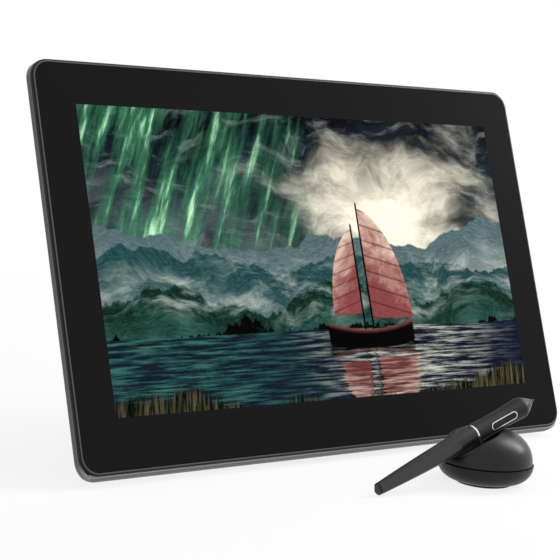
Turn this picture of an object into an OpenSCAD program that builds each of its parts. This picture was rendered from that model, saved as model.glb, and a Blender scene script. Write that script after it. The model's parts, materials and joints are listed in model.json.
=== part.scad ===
// Pen display on an easel stand, with its pen and a domed pen stand.
// Units are millimetres. +X is right, +Y is away from the viewer, +Z is up.
// The origin lies on the desk, mid width, under the tilt hinge of the easel stand.

/* [Screen] */
// Width of the picture area
active_w = 434.9; // [300:0.1:560]
// Height of the picture area
active_h = 238.7; // [180:0.1:330]
// Dark border left and right of the picture area
bezel_side = 32; // [15:0.1:45]
// Dark border above the picture area
bezel_top = 31.8; // [15:0.1:45]
// Dark border below the picture area
bezel_bottom = 38.3; // [20:0.1:55]
// Thickness of the cover glass
glass_t = 1.6; // [1:0.1:3]
// Corner radius of the cover glass
glass_r = 12.5; // [4:0.5:25]
// Bevel along the front edge of the cover glass
glass_bevel = 0.35; // [0.2:0.05:0.6]

/* [Housing] */
// Width of the thin lip around the glass
lip_w = 2.3; // [1.5:0.1:5]
// Gap between the glass edge and the lip
lip_gap = 0.25; // [0.2:0.05:0.6]
// Height of the lip wall
lip_h = 2; // [1.9:0.1:4]
// Bevel on the outer edge of the lip
lip_bevel = 0.7; // [0.3:0.1:1.2]
// Dark groove between lip and rear cover
groove_h = 0.8; // [0.4:0.1:1.5]
// Depth from the glass to the rear edge of the side wall
rim_depth = 8.3; // [8:0.1:11]
// How far the rear cover stands out past the lip
rim_proud = 0.5; // [0:0.1:1.5]
// How much lower the rear edge of the chin reaches than its front edge
chin = 3; // [0:0.1:8]
// Overall thickness at the flat rear panel
body_t = 20; // [19:0.5:30]
// Distance from the outer edge to the flat rear panel
slope_w = 46; // [40:1:70]
// Wall thickness of the rear cover
wall = 2.2; // [1.8:0.1:3.5]

/* [Keys on the right edge] */
// Length of each key along the edge
key_l = 10; // [7:0.5:13]
// Height of each key
key_h = 2.6; // [2:0.1:3]
// Spacing of the keys
key_pitch = 17; // [16:0.5:24]
// How far the keys stand out
key_out = 0.9; // [0.7:0.1:1.5]
// Distance from the lower edge to the lowest key
key_y = 180; // [150:1:190]

/* [Easel stand] */
// Tilt of the screen above the desk, in degrees
tilt = 70; // [66:0.5:74]
// Height of the tilt hinge above the desk
hinge_h = 14; // [13:0.5:20]
// Distance from the rear panel back to the tilt hinge
hinge_back = 7; // [6.8:0.1:10]
// Distance from the lower edge of the lip up to the tilt hinge
hinge_up = 14.4; // [10:0.1:16]
// Length of the prop, equal to its distance from the tilt hinge
link_l = 84; // [80:1:95]
// Half width of the base tray
base_half = 72; // [71:0.5:80]
// Sheet thickness of base and bracket
sheet = 2.5; // [2:0.1:3]
// Height of the side walls of the base tray
base_wall_h = 21; // [20:0.5:26]
// Height of the rubber feet
foot_h = 3; // [2:0.5:4]
// Radius of the hinge pins
pin_r = 3; // [2.5:0.1:3.2]
// Screw spacing of the rear mounting holes
mount_pitch = 75; // [60:1:80]

/* [Pen stand] */
// Distance of the pen stand to the right of the screen centre
dome_x = 57; // [20:0.1:120]
// Distance of the pen stand in front of the tilt hinge
dome_y = -126.5; // [-200:0.5:-115]
// Outer radius of the base rim
dome_r = 38; // [37.5:0.5:40]
// Height of the pen stand
dome_h = 42; // [41.5:0.5:43]
// Radius of the rounded ring section
tube_r = 24; // [23.5:0.1:24.5]
// How far the base rim stands out past the shell
ledge = 1.2; // [0.6:0.1:1.6]
// Radius of the upright pen hole
hole_r = 9.2; // [9:0.1:9.6]
// Height of the seam between shell and base
seam_z = 17; // [16.5:0.1:18]
// Radius of the rounded underside of the base
bowl_r = 15; // [14:0.5:15.5]
// Wall thickness of the shell
shell_t = 2.2; // [1.8:0.1:2.6]
// Radius of the pen trough
groove_r = 24; // [22:0.5:26]
// Slope of the pen trough, in degrees
groove_slope = 20.4; // [20.2:0.1:20.8]

/* [Pen] */
// Length of the pen
pen_len = 172; // [166:1:178]
// Rise of the pen above the desk, in degrees
pen_rise = 19.5; // [19:0.1:19.7]
// Distance from the tail to the point over the pen stand centre
pen_over = 119.4; // [114:0.1:119.8]
// Height of the pen axis over the pen stand centre
pen_z = 44.8; // [44.7:0.1:46]
// Radius at the tail
tail_r = 4.5; // [3.5:0.1:4.9]
// Radius at the bright ring
ring_r = 8.1; // [7.8:0.1:8.3]
// Radius of the narrow part of the grip
waist_r = 7.7; // [7.4:0.1:7.8]
// Radius of the flare at the front of the grip
flare_r = 8.7; // [8.2:0.1:8.9]
// Half thickness across the flats at the tail
flat_half = 3.1; // [2.6:0.1:3.8]
// Radius of the nib
nib_r = 0.9; // [0.7:0.05:1.1]

/* [Hidden] */
$fn = 96;
eps = 0.02;
slip = 0.3;
run_gap = 0.06;
corner_fn = 48;

lip_all = lip_w + lip_gap;
glass_w = active_w + 2 * bezel_side;
glass_h = active_h + bezel_top + bezel_bottom;
front_w = glass_w + 2 * lip_all;
front_h = glass_h + 2 * lip_all;
front_r = glass_r + lip_all;
active_y = lip_all + bezel_bottom;
active_mid = active_y + active_h / 2;
rim_w = front_w + 2 * rim_proud;
rim_r = front_r + rim_proud;
rim_top = lip_h + groove_h;
slope_a = atan((body_t - rim_depth) / slope_w);
edge_band = 0.6;
chin_slope_a = atan((body_t - rim_depth - edge_band) / (slope_w + chin));
chin_a = atan(chin / (rim_depth - rim_top));

tape_t = 0.2;
ledge_front = glass_t + tape_t;
ledge_back = 3.6;
window_w = active_w + 14;
window_h = active_h + 14;

lcd_front = glass_t + 0.1;
lcd_t = 1.4;
lcd_w = active_w + 10;
lcd_h = active_h + 10;
sheet_front = lcd_front + lcd_t + 0.15;
sheet_t = 0.7;
guide_front = sheet_front + sheet_t + 0.1;
guide_t = 2;
guide_w = active_w + 4;
guide_h = active_h + 2;
mirror_front = guide_front + guide_t + 0.1;
mirror_t = 0.3;
tray_front = sheet_front;
tray_back = mirror_front + mirror_t + 0.7;
tray_t = 0.6;
tray_w = active_w + 12;
tray_h = active_h + 12;
sense_front = tray_back + 0.1;
sense_t = 0.8;
sense_w = active_w + 20;
sense_h = active_h + 20;
shield_front = sense_front + sense_t + 0.1;
shield_t = 0.6;
shield_back = shield_front + shield_t;

inner_back = body_t - wall;
pocket_w = 84;
pocket_in = 84.5;
pocket_x0 = rim_w / 2 - pocket_in - pocket_w;
pocket_y0 = slope_w + 4;
pocket_h = 28;
pocket_floor = shield_back + 0.3 + 1.6;
board_x0 = pocket_x0 - 8;
board_w = 104;
board_y0 = pocket_y0 + pocket_h + 2.5;
board_h = 72;
board_front = shield_back + 1.2;
board_t = 1.6;
board_back = board_front + board_t;
port_y = pocket_y0 + pocket_h;
port_len = 13;
hdmi_x = pocket_x0 + 22;
usb_x = pocket_x0 + 44;
dc_x = pocket_x0 + 64;
hdmi_w = 15;
hdmi_h = 5.2;
usb_w = 9;
usb_h = 3.2;
dc_r = 2.7;

post_r = 3.2;
post_back = 7.6;
screw_r = 1.4;
screw_seat = 9.8;
screw_x = glass_w / 2 - 13;
screw_ys = [30, front_h / 2, front_h - 29];
screw_xs = [-110, 110];
screw_top = front_h - 13.5;
screw_low = 12;
board_posts = [[5, 6], [board_w - 5, 6], [5, board_h - 6], [board_w - 5, board_h - 6]];

key_z = (rim_top + rim_depth) / 2;
key_names_n = 5;
wall_out = rim_w / 2;
wall_in = wall_out - wall;
key_travel = 0.6;
key_flange_l = key_l + 3;
key_flange_t = 1.2;
key_flange_front = ledge_back + slip;
key_flange_rear = rim_depth + (wall + slip) * tan(slope_a) - wall / cos(slope_a) - slip;
key_cut_in = 2.5;
switch_tip = wall_in - slip - key_flange_t - key_travel - 0.15;
key_board_x = switch_tip - 2.6;

pivot_v = link_l;
head_r = 3.9;
head_room = 6.6;
mount_v = pivot_v + pin_r + head_room + head_r + mount_pitch / 2;
arm_t = 4;
arm_r = 6.2;
arm_gap = 4.5;
arm_in = base_half - sheet - arm_gap - arm_t;
arm_drill = 2 * (arm_in + arm_t) + 2;
ear_gap = 2;
ear_r = 7;
plate_half = arm_in - ear_gap;
plate_front_v = 9;
plate_top_v = mount_v + mount_pitch / 2 + 11.5;
knuckle_r = 6;
knuckle_l = 25;
knuckle_mid = plate_half - knuckle_l / 2;
foot_run_min = 2 * link_l * cos(tilt + 5);
foot_run_max = 2 * link_l * cos(20);
base_front = -9;
base_rear = foot_run_max + 10;
base_low = foot_h;
notch_angles = [20, 30, 40, 50, 60, 70];
slot_gap = 0.3;
insert_r = 3;
insert_l = 5.6;
mount_y = hinge_up + mount_v;

shell_r = dome_r - ledge;
dome_c = dome_h - tube_r;
ring_c = shell_r - tube_r;
pen_seat = 9.3;
groove_z = pen_z + 1.1 + (groove_r - pen_seat) / cos(groove_slope);
bowl_c = dome_r - bowl_r;
bowl_low = seam_z - bowl_r;
bowl_wall = 2.4;
bowl_floor = bowl_low + bowl_wall;
step_z = bowl_floor + 5.6;
spigot_t = 2.4;
spigot_r = shell_r - shell_t - 0.5;
well_r = spigot_r - spigot_t;
pit_r = well_r - 3.2;
weight_h = 4;
nib_tray_h = 4;
nib_ring = 24;
nib_l = 17;

ring_s = 0.585 * pen_len;
ring_l = 1.4;
grip_s = ring_s + ring_l;
grip_end = 0.912 * pen_len;
flare_s = 0.9 * pen_len;
nose_end = pen_len - 3.6;
core_r = 5.2;
core_bore = 3.2;
core_s = 58;
core_end = grip_end;
key_s = 0.757 * pen_len;
key_turn = 10;
key_slot_l = 28;
key_slot_w = 6.4;
key_rim = 0.7;
key_split = 2;
pen_key_gap = 0.3;
nib_in = pen_len - 27;
sensor_s = pen_len - 39;
coil_s = pen_len - 25.5;
coil_l = 9.5;
flat_run = 84;

// Shared outlines and frames

// A rounded rectangle, centred in X, standing on y0
module panel(w, h, r, y0) {
    translate([-w / 2 + r, y0]) square([w - 2 * r, h]);
    translate([-w / 2, y0 + r]) square([w, h - 2 * r]);
    for (sx = [-1, 1], y = [y0 + r, y0 + h - r]) translate([sx * (w / 2 - r), y]) circle(r);
}

// A flat plate between two depths behind the glass front
module layer(z_front, z_back) {
    translate([0, 0, -z_back]) linear_extrude(z_back - z_front) children();
}

// Stands a screen unit piece up at its tilt; depth runs behind the glass
module on_tablet() {
    translate([0, 0, hinge_h]) rotate([tilt, 0, 0]) translate([0, -hinge_up, body_t + hinge_back]) children();
}

// Frame of the bracket, with the tilt hinge on its X axis
module on_hinge() {
    translate([0, 0, hinge_h]) rotate([tilt, 0, 0]) children();
}

// Frame of the prop, from its pivot on the X axis along +Y to its foot
module on_prop() {
    translate([0, link_l * cos(tilt), hinge_h + link_l * sin(tilt)]) rotate([-tilt, 0, 0]) children();
}

// A round bar along X, centred
module bar(r, l) {
    rotate([0, 90, 0]) cylinder(r = r, h = l, center = true);
}

// Frame of the pen, with the tail at the origin and the axis along +X
module on_pen() {
    translate([dome_x, dome_y, pen_z]) rotate([0, -pen_rise, 0]) translate([-pen_over, 0, 0]) children();
}

// Turns a radius and length profile about the pen axis
module turned() {
    rotate([0, 90, 0]) rotate_extrude() children();
}

// Frame of the pen stand
module on_dome() {
    translate([dome_x, dome_y, 0]) children();
}

// Screen unit

module cover_glass() {
    color([0.05, 0.05, 0.055]) on_tablet() {
        layer(glass_bevel, glass_t) panel(glass_w, glass_h, glass_r, lip_all);
        hull() {
            layer(glass_bevel, glass_bevel + eps) panel(glass_w, glass_h, glass_r, lip_all, $fn = corner_fn);
            layer(0, eps)
                panel(glass_w - 2 * glass_bevel, glass_h - 2 * glass_bevel, glass_r - glass_bevel,
                    lip_all + glass_bevel, $fn = corner_fn);
        }
    }
}

module glass_adhesive() {
    color([0.1, 0.1, 0.1]) on_tablet() layer(glass_t, ledge_front) difference() {
        panel(glass_w - 2, glass_h - 2, glass_r - 1, lip_all + 1);
        panel(window_w + 6, window_h + 6, 4, active_mid - window_h / 2 - 3);
    }
}

module front_frame() {
    color([0.2, 0.2, 0.21]) on_tablet() {
        difference() {
            union() {
                hull() {
                    layer(lip_bevel, lip_h) panel(front_w, front_h, front_r, 0, $fn = corner_fn);
                    layer(0, eps)
                        panel(front_w - 2 * lip_bevel, front_h - 2 * lip_bevel, front_r - lip_bevel,
                            lip_bevel, $fn = corner_fn);
                }
                layer(lip_h - eps, ledge_back) panel(front_w - 5, front_h - 5, front_r - 2.5, 2.5);
                for (p = frame_posts()) translate([p[0], p[1], -post_back]) cylinder(r = post_r, h = post_back - 2);
            }
            layer(-1, ledge_front) panel(glass_w + 2 * lip_gap, glass_h + 2 * lip_gap, glass_r + lip_gap, lip_w);
            layer(0, ledge_back + 1) panel(window_w, window_h, 3, active_mid - window_h / 2);
            for (p = frame_posts()) translate([p[0], p[1], -post_back - 1])
                cylinder(r = screw_r + eps, h = post_back - ledge_front + 0.4);
        }
    }
}

// Positions of the screw posts of the front frame
function frame_posts() = concat(
    [for (sx = [-1, 1], y = screw_ys) [sx * screw_x, y]],
    [for (x = screw_xs, y = [screw_low, screw_top]) [x, y]]
);

module lcd_panel() {
    color([0.12, 0.2, 0.22]) on_tablet() layer(lcd_front, lcd_front + lcd_t)
        translate([-lcd_w / 2, active_mid - lcd_h / 2]) square([lcd_w, lcd_h]);
}

module diffuser_sheets() {
    color([0.9, 0.9, 0.88]) on_tablet() layer(sheet_front, sheet_front + sheet_t)
        translate([-guide_w / 2, active_mid - guide_h / 2]) square([guide_w, guide_h]);
}

module light_guide() {
    color([0.85, 0.9, 0.92]) on_tablet() layer(guide_front, guide_front + guide_t)
        translate([-guide_w / 2, active_mid - guide_h / 2]) square([guide_w, guide_h]);
}

module led_strip() {
    strip_y = active_mid - guide_h / 2 - 3.6;
    led_n = 40;
    color([0.95, 0.95, 0.85]) on_tablet() {
        layer(guide_front, guide_front + guide_t) translate([-guide_w / 2, strip_y]) square([guide_w, 1]);
        for (i = [0 : led_n - 1]) translate([-guide_w / 2 + (i + 0.5) * guide_w / led_n, strip_y + 1.9, 0])
            translate([-2, -1, -guide_front - guide_t + 0.3]) cube([4, 2, guide_t - 0.6]);
    }
}

module reflector_sheet() {
    color([0.95, 0.95, 0.95]) on_tablet() layer(mirror_front, mirror_front + mirror_t)
        translate([-guide_w / 2, active_mid - guide_h / 2]) square([guide_w, guide_h]);
}

module backlight_tray() {
    color([0.7, 0.71, 0.72]) on_tablet() difference() {
        layer(tray_front, tray_back) translate([-tray_w / 2, active_mid - tray_h / 2]) square([tray_w, tray_h]);
        layer(tray_front - 1, tray_back - tray_t)
            translate([-tray_w / 2 + tray_t, active_mid - tray_h / 2 + tray_t])
                square([tray_w - 2 * tray_t, tray_h - 2 * tray_t]);
    }
}

module digitizer_board() {
    color([0.05, 0.3, 0.2]) on_tablet() layer(sense_front, sense_front + sense_t)
        translate([-sense_w / 2, active_mid - sense_h / 2]) square([sense_w, sense_h]);
}

module shield_plate() {
    color([0.6, 0.61, 0.63]) on_tablet() layer(shield_front, shield_back)
        translate([-sense_w / 2, active_mid - sense_h / 2]) square([sense_w, sense_h]);
}

module main_board() {
    color([0.04, 0.35, 0.22]) on_tablet() difference() {
        union() {
            layer(board_front, board_back) translate([board_x0, board_y0]) square([board_w, board_h]);
            layer(board_back - eps, board_back + 2.2) translate([board_x0 + 36, board_y0 + 30]) square([24, 24]);
            layer(board_back - eps, board_back + 1.6) translate([board_x0 + 70, board_y0 + 34]) square([14, 18]);
            layer(board_back - eps, board_back + 3) translate([board_x0 + 12, board_y0 + 36]) square([9, 16]);
        }
        for (p = board_posts) translate([board_x0 + p[0], board_y0 + p[1], -board_back - 1]) cylinder(r = 1.5, h = 4);
    }
}

module board_screws() {
    color([0.75, 0.75, 0.77]) on_tablet()
        for (p = board_posts) translate([board_x0 + p[0], board_y0 + p[1], -board_front]) {
            cylinder(r = 2.4, h = 1);
            translate([0, 0, -5]) cylinder(r = 1.2, h = 5.5);
        }
}

module key_board() {
    z0 = key_z + 1.6;
    color([0.04, 0.35, 0.22]) on_tablet() {
        translate([key_board_x, key_y - 12, -z0]) cube([1.6, 4 * key_pitch + 24, 3.4]);
        for (i = [0 : key_names_n - 1]) translate([key_board_x + 1.5, key_y + i * key_pitch, -key_z]) {
            translate([0, -2, -1.5]) cube([0.8, 4, 3]);
            translate([0.7, -1, -0.8]) cube([0.4, 2, 1.6]);
        }
    }
}

// Cuts the four rear slopes and the slanted chin from a block; lift moves the slopes towards the front
module rear_slopes(lift) {
    big = 2 * front_w;
    for (sx = [0, 1]) mirror([sx, 0, 0]) translate([rim_w / 2, 0, lift - rim_depth]) rotate([0, -slope_a, 0])
        translate([-2 * slope_w, -big, -40]) cube([3 * slope_w, 2 * big, 40]);
    translate([0, front_h + rim_proud, lift - rim_depth]) rotate([slope_a, 0, 0])
        translate([-big, -2 * slope_w, -40]) cube([2 * big, 3 * slope_w, 40]);
    translate([0, -rim_proud - chin, lift - rim_depth - edge_band]) rotate([-chin_slope_a, 0, 0])
        translate([-big, -slope_w, -40]) cube([2 * big, 3 * slope_w, 40]);
}

// Cuts the slanted front face of the chin; shift moves it into the part
module chin_face(shift) {
    big = 2 * front_w;
    translate([0, -rim_proud + shift, -rim_top]) rotate([-chin_a, 0, 0])
        translate([-big, -60, -60]) cube([2 * big, 60, 120]);
}

// Solid outer form of the rear cover
module cover_form() {
    difference() {
        layer(rim_top, body_t) panel(rim_w, front_h + 2 * rim_proud + chin, rim_r, -rim_proud - chin);
        rear_slopes(0);
        chin_face(0);
    }
}

// Hollow of the rear cover
module cover_hollow() {
    difference() {
        layer(rim_top - 1, inner_back)
            panel(rim_w - 2 * wall, front_h + 2 * rim_proud + chin - 2 * wall, rim_r - wall, wall - rim_proud - chin);
        rear_slopes(wall / cos(slope_a));
        chin_face(wall / cos(chin_a));
    }
}

// Depth of the outer slope at a distance from the rim
function slope_at(d) = rim_depth + d * tan(chin_slope_a);

// Screw posts with their distance from the nearest edge of the rim
function post_edge(p) = abs(p[0]) > front_w / 2 - 40 ? rim_w / 2 - abs(p[0])
    : p[1] < front_h / 2 ? p[1] + rim_proud + chin : front_h + rim_proud - p[1];

module back_cover() {
    color([0.25, 0.25, 0.26]) on_tablet() difference() {
        union() {
            difference() {
                cover_form();
                cover_hollow();
            }
            for (p = frame_posts()) {
                low = slope_at(post_edge(p) - post_r - 0.6) - 0.15;
                translate([p[0], p[1], -low]) cylinder(r = post_r + 0.6, h = low - post_back - 0.2);
            }
            for (p = board_posts) translate([board_x0 + p[0], board_y0 + p[1], -body_t + 0.6])
                cylinder(r = 3, h = body_t - board_back - 0.6);
            for (sx = [-1, 1], sy = [-1, 1])
                translate([sx * mount_pitch / 2, mount_y + sy * mount_pitch / 2, -body_t + 0.6])
                    cylinder(r = insert_r + 2, h = insert_l + 0.6);
            translate([pocket_x0 - 2, pocket_y0 - 2, -body_t + 0.6])
                cube([pocket_w + 4, pocket_h + 4, body_t - pocket_floor + 1]);
            for (y = [key_y - 8.5, key_y + 4 * key_pitch + 8.5]) {
                low = slope_at(wall_out - key_board_x) - 0.6;
                translate([key_board_x - 2, y - 2, -low]) cube([2, 4, low - key_z + 1]);
            }
        }
        translate([pocket_x0, pocket_y0, -body_t - 1]) cube([pocket_w, pocket_h, body_t + 1 - pocket_floor]);
        port_cuts();
        for (p = frame_posts()) translate([p[0], p[1], -body_t - 1]) {
            cylinder(r = screw_r + 0.2, h = body_t);
            cylinder(r = 3, h = body_t + 1 - screw_seat);
        }
        for (p = board_posts) translate([board_x0 + p[0], board_y0 + p[1], -board_back - 5])
            cylinder(r = 1.2 + eps, h = 6);
        for (sx = [-1, 1], sy = [-1, 1])
            translate([sx * mount_pitch / 2, mount_y + sy * mount_pitch / 2, -body_t - 1])
                cylinder(r = insert_r + eps, h = insert_l + 1);
        for (i = [-7 : 7], y = [front_h - slope_w - 40, front_h - slope_w - 22])
            translate([i * 10 - 1.2, y, -body_t - 1]) cube([2.4, 13, wall + 2]);
        for (i = [0 : key_names_n - 1])
            translate([wall_in - key_cut_in, key_y + i * key_pitch - key_l / 2 - slip, -key_z - key_h / 2 - slip])
                cube([wall + key_cut_in + 2, key_l + 2 * slip, key_h + 2 * slip]);
    }
}

// Openings for the three sockets in the upper wall of the recess
module port_cuts() {
    translate([hdmi_x - hdmi_w / 2 - 0.15, port_y - 1, -board_back - hdmi_h - 0.15])
        cube([hdmi_w + 0.3, 4, hdmi_h + 0.3]);
    translate([usb_x - usb_w / 2 - 0.15, port_y - 1, -board_back - usb_h - 0.15])
        cube([usb_w + 0.3, 4, usb_h + 0.3]);
    translate([dc_x, port_y - 1, -board_back - dc_r - 0.1]) rotate([-90, 0, 0]) cylinder(r = dc_r + 0.12, h = 4);
}

module hdmi_port() {
    color([0.75, 0.75, 0.76]) on_tablet() translate([hdmi_x, port_y + 0.3, -board_back - hdmi_h]) {
        difference() {
            translate([-hdmi_w / 2, 0, 0]) cube([hdmi_w, port_len, hdmi_h]);
            translate([-hdmi_w / 2 + 0.5, -1, 0.5]) cube([hdmi_w - 1, port_len - 1, hdmi_h - 1]);
        }
        translate([-hdmi_w / 2 + 1.5, 2, hdmi_h / 2 - 0.6]) cube([hdmi_w - 3, port_len - 2.5, 1.2]);
    }
}

module usb_port() {
    color([0.75, 0.75, 0.76]) on_tablet() translate([usb_x, port_y + 0.3, -board_back - usb_h]) {
        difference() {
            rotate([-90, 0, 0]) translate([0, -usb_h / 2, 0]) linear_extrude(port_len - 3) stadium(usb_w, usb_h);
            translate([0, -1, 0]) rotate([-90, 0, 0]) translate([0, -usb_h / 2, 0])
                linear_extrude(port_len - 4) stadium(usb_w - 0.7, usb_h - 0.7);
        }
        translate([-usb_w / 2 + 1.2, 1.5, usb_h / 2 - 0.35]) cube([usb_w - 2.4, port_len - 5, 0.7]);
    }
}

// A slot shape with round ends, centred
module stadium(l, w) {
    square([l - w, w], center = true);
    for (sx = [-1, 1]) translate([sx * (l - w) / 2, 0]) circle(w / 2);
}

module dc_jack() {
    color([0.08, 0.08, 0.08]) on_tablet() translate([dc_x, port_y + 0.3, -board_back - dc_r - 0.1])
        rotate([-90, 0, 0]) {
            difference() {
                cylinder(r = dc_r, h = port_len);
                translate([0, 0, -1]) cylinder(r = 1.8, h = port_len - 1);
            }
            translate([0, 0, 1.5]) cylinder(r = 0.65, h = port_len - 2);
        }
}

module threaded_inserts() {
    color([0.8, 0.65, 0.3]) on_tablet() for (sx = [-1, 1], sy = [-1, 1])
        translate([sx * mount_pitch / 2, mount_y + sy * mount_pitch / 2, -body_t]) difference() {
            cylinder(r = insert_r, h = insert_l);
            translate([0, 0, -1]) cylinder(r = 2, h = insert_l);
        }
}

module housing_screws() {
    color([0.15, 0.15, 0.16]) on_tablet() for (p = frame_posts()) translate([p[0], p[1], -screw_seat]) difference() {
        union() {
            translate([0, 0, -1.8]) cylinder(r = 2.7, h = 1.8);
            cylinder(r = screw_r, h = screw_seat - 3);
        }
        translate([0, 0, -2.8]) cylinder(r = 1.3, h = 2, $fn = 6);
    }
}

module back_pads() {
    pad_x = rim_w / 2 - slope_w - 24;
    color([0.1, 0.1, 0.1]) on_tablet() for (sx = [-1, 1], y = [slope_w + 10, front_h - slope_w - 10])
        translate([sx * pad_x, y, -body_t - 1.4]) linear_extrude(1.4) stadium(36, 9);
}

// One key on the right edge
module edge_key(i) {
    on_tablet() translate([0, key_y + i * key_pitch, 0]) {
        translate([wall_in - 1, -key_l / 2, -key_z - key_h / 2]) cube([wall + 1 + key_out, key_l, key_h]);
        translate([wall_in - slip - key_flange_t, -key_flange_l / 2, -key_flange_rear])
            cube([key_flange_t, key_flange_l, key_flange_rear - key_flange_front]);
    }
}

module power_key() {
    color([0.16, 0.16, 0.17]) edge_key(4);
}

module menu_key() {
    color([0.16, 0.16, 0.17]) edge_key(3);
}

module plus_key() {
    color([0.16, 0.16, 0.17]) edge_key(2);
}

module minus_key() {
    color([0.16, 0.16, 0.17]) edge_key(1);
}

module input_key() {
    color([0.16, 0.16, 0.17]) edge_key(0);
}

// Easel stand

module stand_bracket() {
    color([0.14, 0.14, 0.15]) on_hinge() difference() {
        union() {
            translate([-plate_half, plate_front_v, hinge_back - sheet])
                cube([2 * plate_half, plate_top_v - plate_front_v, sheet]);
            for (sx = [-1, 1]) {
                translate([sx * knuckle_mid, 0, 0]) bar(knuckle_r, knuckle_l);
                translate([sx * knuckle_mid - knuckle_l / 2, 0, knuckle_r - sheet])
                    cube([knuckle_l, plate_front_v + 6, sheet]);
                translate([sx * (plate_half - sheet / 2), pivot_v, 0]) {
                    bar(ear_r, sheet);
                    translate([-sheet / 2, -ear_r, 0]) cube([sheet, 2 * ear_r, hinge_back - sheet + eps]);
                }
            }
        }
        bar(pin_r + run_gap, arm_drill);
        translate([0, pivot_v, 0]) bar(pin_r + eps, arm_drill);
        for (sx = [-1, 1], sy = [-1, 1])
            translate([sx * mount_pitch / 2, mount_v + sy * mount_pitch / 2, 0]) cylinder(r = 2.3, h = hinge_back + 1);
        translate([-18, mount_v - 40, 0]) cube([36, 80, hinge_back + 1]);
    }
}

module bracket_screws() {
    color([0.7, 0.7, 0.72]) on_hinge() for (sx = [-1, 1], sy = [-1, 1])
        translate([sx * mount_pitch / 2, mount_v + sy * mount_pitch / 2, hinge_back - sheet]) difference() {
            union() {
                translate([0, 0, -2.2]) cylinder(r = head_r, h = 2.2);
                cylinder(r = 2 - eps, h = sheet + insert_l - 1.4);
            }
            translate([0, 0, -3.2]) cylinder(r = 1.7, h = 2.2, $fn = 6);
        }
}

module prop_pivot_pin() {
    color([0.7, 0.7, 0.72]) on_hinge() translate([0, pivot_v, 0]) bar(pin_r, 2 * (arm_in + arm_t) + 3);
}

module prop_arm() {
    color([0.14, 0.14, 0.15]) on_prop() difference() {
        union() {
            for (sx = [-1, 1]) translate([sx * (arm_in + arm_t / 2), 0, 0]) {
                bar(arm_r, arm_t);
                translate([0, link_l, 0]) bar(arm_r, arm_t);
                translate([-arm_t / 2, 0, -arm_r]) cube([arm_t, link_l, 2 * arm_r]);
            }
            translate([-arm_in - 1, 14, -sheet / 2]) cube([2 * arm_in + 2, link_l - 26, sheet]);
        }
        bar(pin_r + run_gap, arm_drill);
        translate([0, link_l, 0]) bar(pin_r + eps, arm_drill);
    }
}

module prop_foot_pin() {
    color([0.7, 0.7, 0.72]) on_prop() translate([0, link_l, 0]) {
        bar(pin_r, 2 * base_half + 3);
        for (sx = [-1, 1]) translate([sx * (base_half + 2.3), 0, 0]) bar(pin_r + 2, 2);
    }
}

// Side wall of the base tray with its notched slot, drawn in Y and Z
module base_side() {
    top = base_low + base_wall_h;
    difference() {
        polygon([[base_front, base_low], [base_rear, base_low], [base_rear, top - 6], [base_rear - 8, top],
            [base_front + 6, top], [base_front, top - 6]]);
        translate([0, hinge_h]) circle(pin_r + eps);
        translate([foot_run_min, hinge_h - pin_r - slot_gap])
            square([foot_run_max - foot_run_min, 2 * (pin_r + slot_gap)]);
        for (y = [foot_run_min, foot_run_max]) translate([y, hinge_h]) circle(pin_r + slot_gap);
        for (a = notch_angles) translate([2 * link_l * cos(a), hinge_h - 1.8]) circle(pin_r + slot_gap);
    }
}

module stand_base() {
    color([0.14, 0.14, 0.15]) {
        translate([-base_half, base_front, base_low]) cube([2 * base_half, base_rear - base_front, sheet]);
        for (x = [-base_half, base_half - sheet]) translate([x, 0, 0])
            rotate([90, 0, 90]) linear_extrude(sheet) base_side();
    }
}

module base_feet() {
    color([0.08, 0.08, 0.08]) {
        translate([0, 0, 0]) linear_extrude(foot_h) stadium(2 * base_half - 10, 14);
        for (sx = [-1, 1]) translate([sx * (base_half - 14), base_rear - 14, 0]) cylinder(r = 9, h = foot_h);
    }
}

module tilt_hinge_pin() {
    color([0.7, 0.7, 0.72]) translate([0, 0, hinge_h]) {
        bar(pin_r, 2 * base_half + 2);
        for (sx = [-1, 1]) translate([sx * (base_half + 1), 0, 0]) bar(pin_r + 2, 2);
    }
}

// Pen stand

// Space cut away for the pen: a wide sloped trough, grown by a given amount
module pen_room(extra) {
    translate([0, 0, groove_z]) rotate([0, -groove_slope, 0]) bar(groove_r + extra, 4 * dome_r);
}

// Half section of the solid shell
module dome_outline() {
    difference() {
        union() {
            translate([ring_c, dome_c]) circle(tube_r);
            square([shell_r, dome_c]);
        }
        translate([-shell_r, -dome_h]) square([shell_r, 3 * dome_h]);
        translate([-1, seam_z - dome_h]) square([2 * dome_r, dome_h]);
    }
}

// Half section of the hollow inside the shell
module dome_hollow() {
    difference() {
        union() {
            translate([ring_c, dome_c]) circle(tube_r - shell_t);
            square([shell_r - shell_t, dome_c]);
        }
        translate([-shell_r, -dome_h]) square([shell_r + hole_r + shell_t, 3 * dome_h]);
        translate([-1, seam_z - 1 - dome_h]) square([2 * dome_r, dome_h]);
    }
}

module pen_stand_shell() {
    color([0.23, 0.23, 0.24]) on_dome() difference() {
        union() {
            rotate_extrude() difference() {
                dome_outline();
                dome_hollow();
            }
            intersection() {
                rotate_extrude() dome_outline();
                pen_room(shell_t);
            }
        }
        translate([0, 0, seam_z + shell_t]) cylinder(r = hole_r, h = dome_h);
        pen_room(0);
    }
}

module pen_stand_base() {
    top = seam_z - slip;
    color([0.2, 0.2, 0.21]) on_dome() rotate_extrude() difference() {
        union() {
            difference() {
                translate([bowl_c, seam_z]) circle(bowl_r);
                translate([bowl_c - bowl_r - 1, top]) square([2 * bowl_r + 2, bowl_r + 1]);
            }
            translate([0, bowl_low]) square([bowl_c, top - bowl_low]);
            translate([well_r, step_z]) square([spigot_t, seam_z + 3 - step_z]);
        }
        translate([0, bowl_floor]) square([pit_r, dome_h]);
        translate([0, step_z]) square([well_r, dome_h]);
        translate([-dome_r, 0]) square([dome_r, dome_h]);
    }
}

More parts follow.
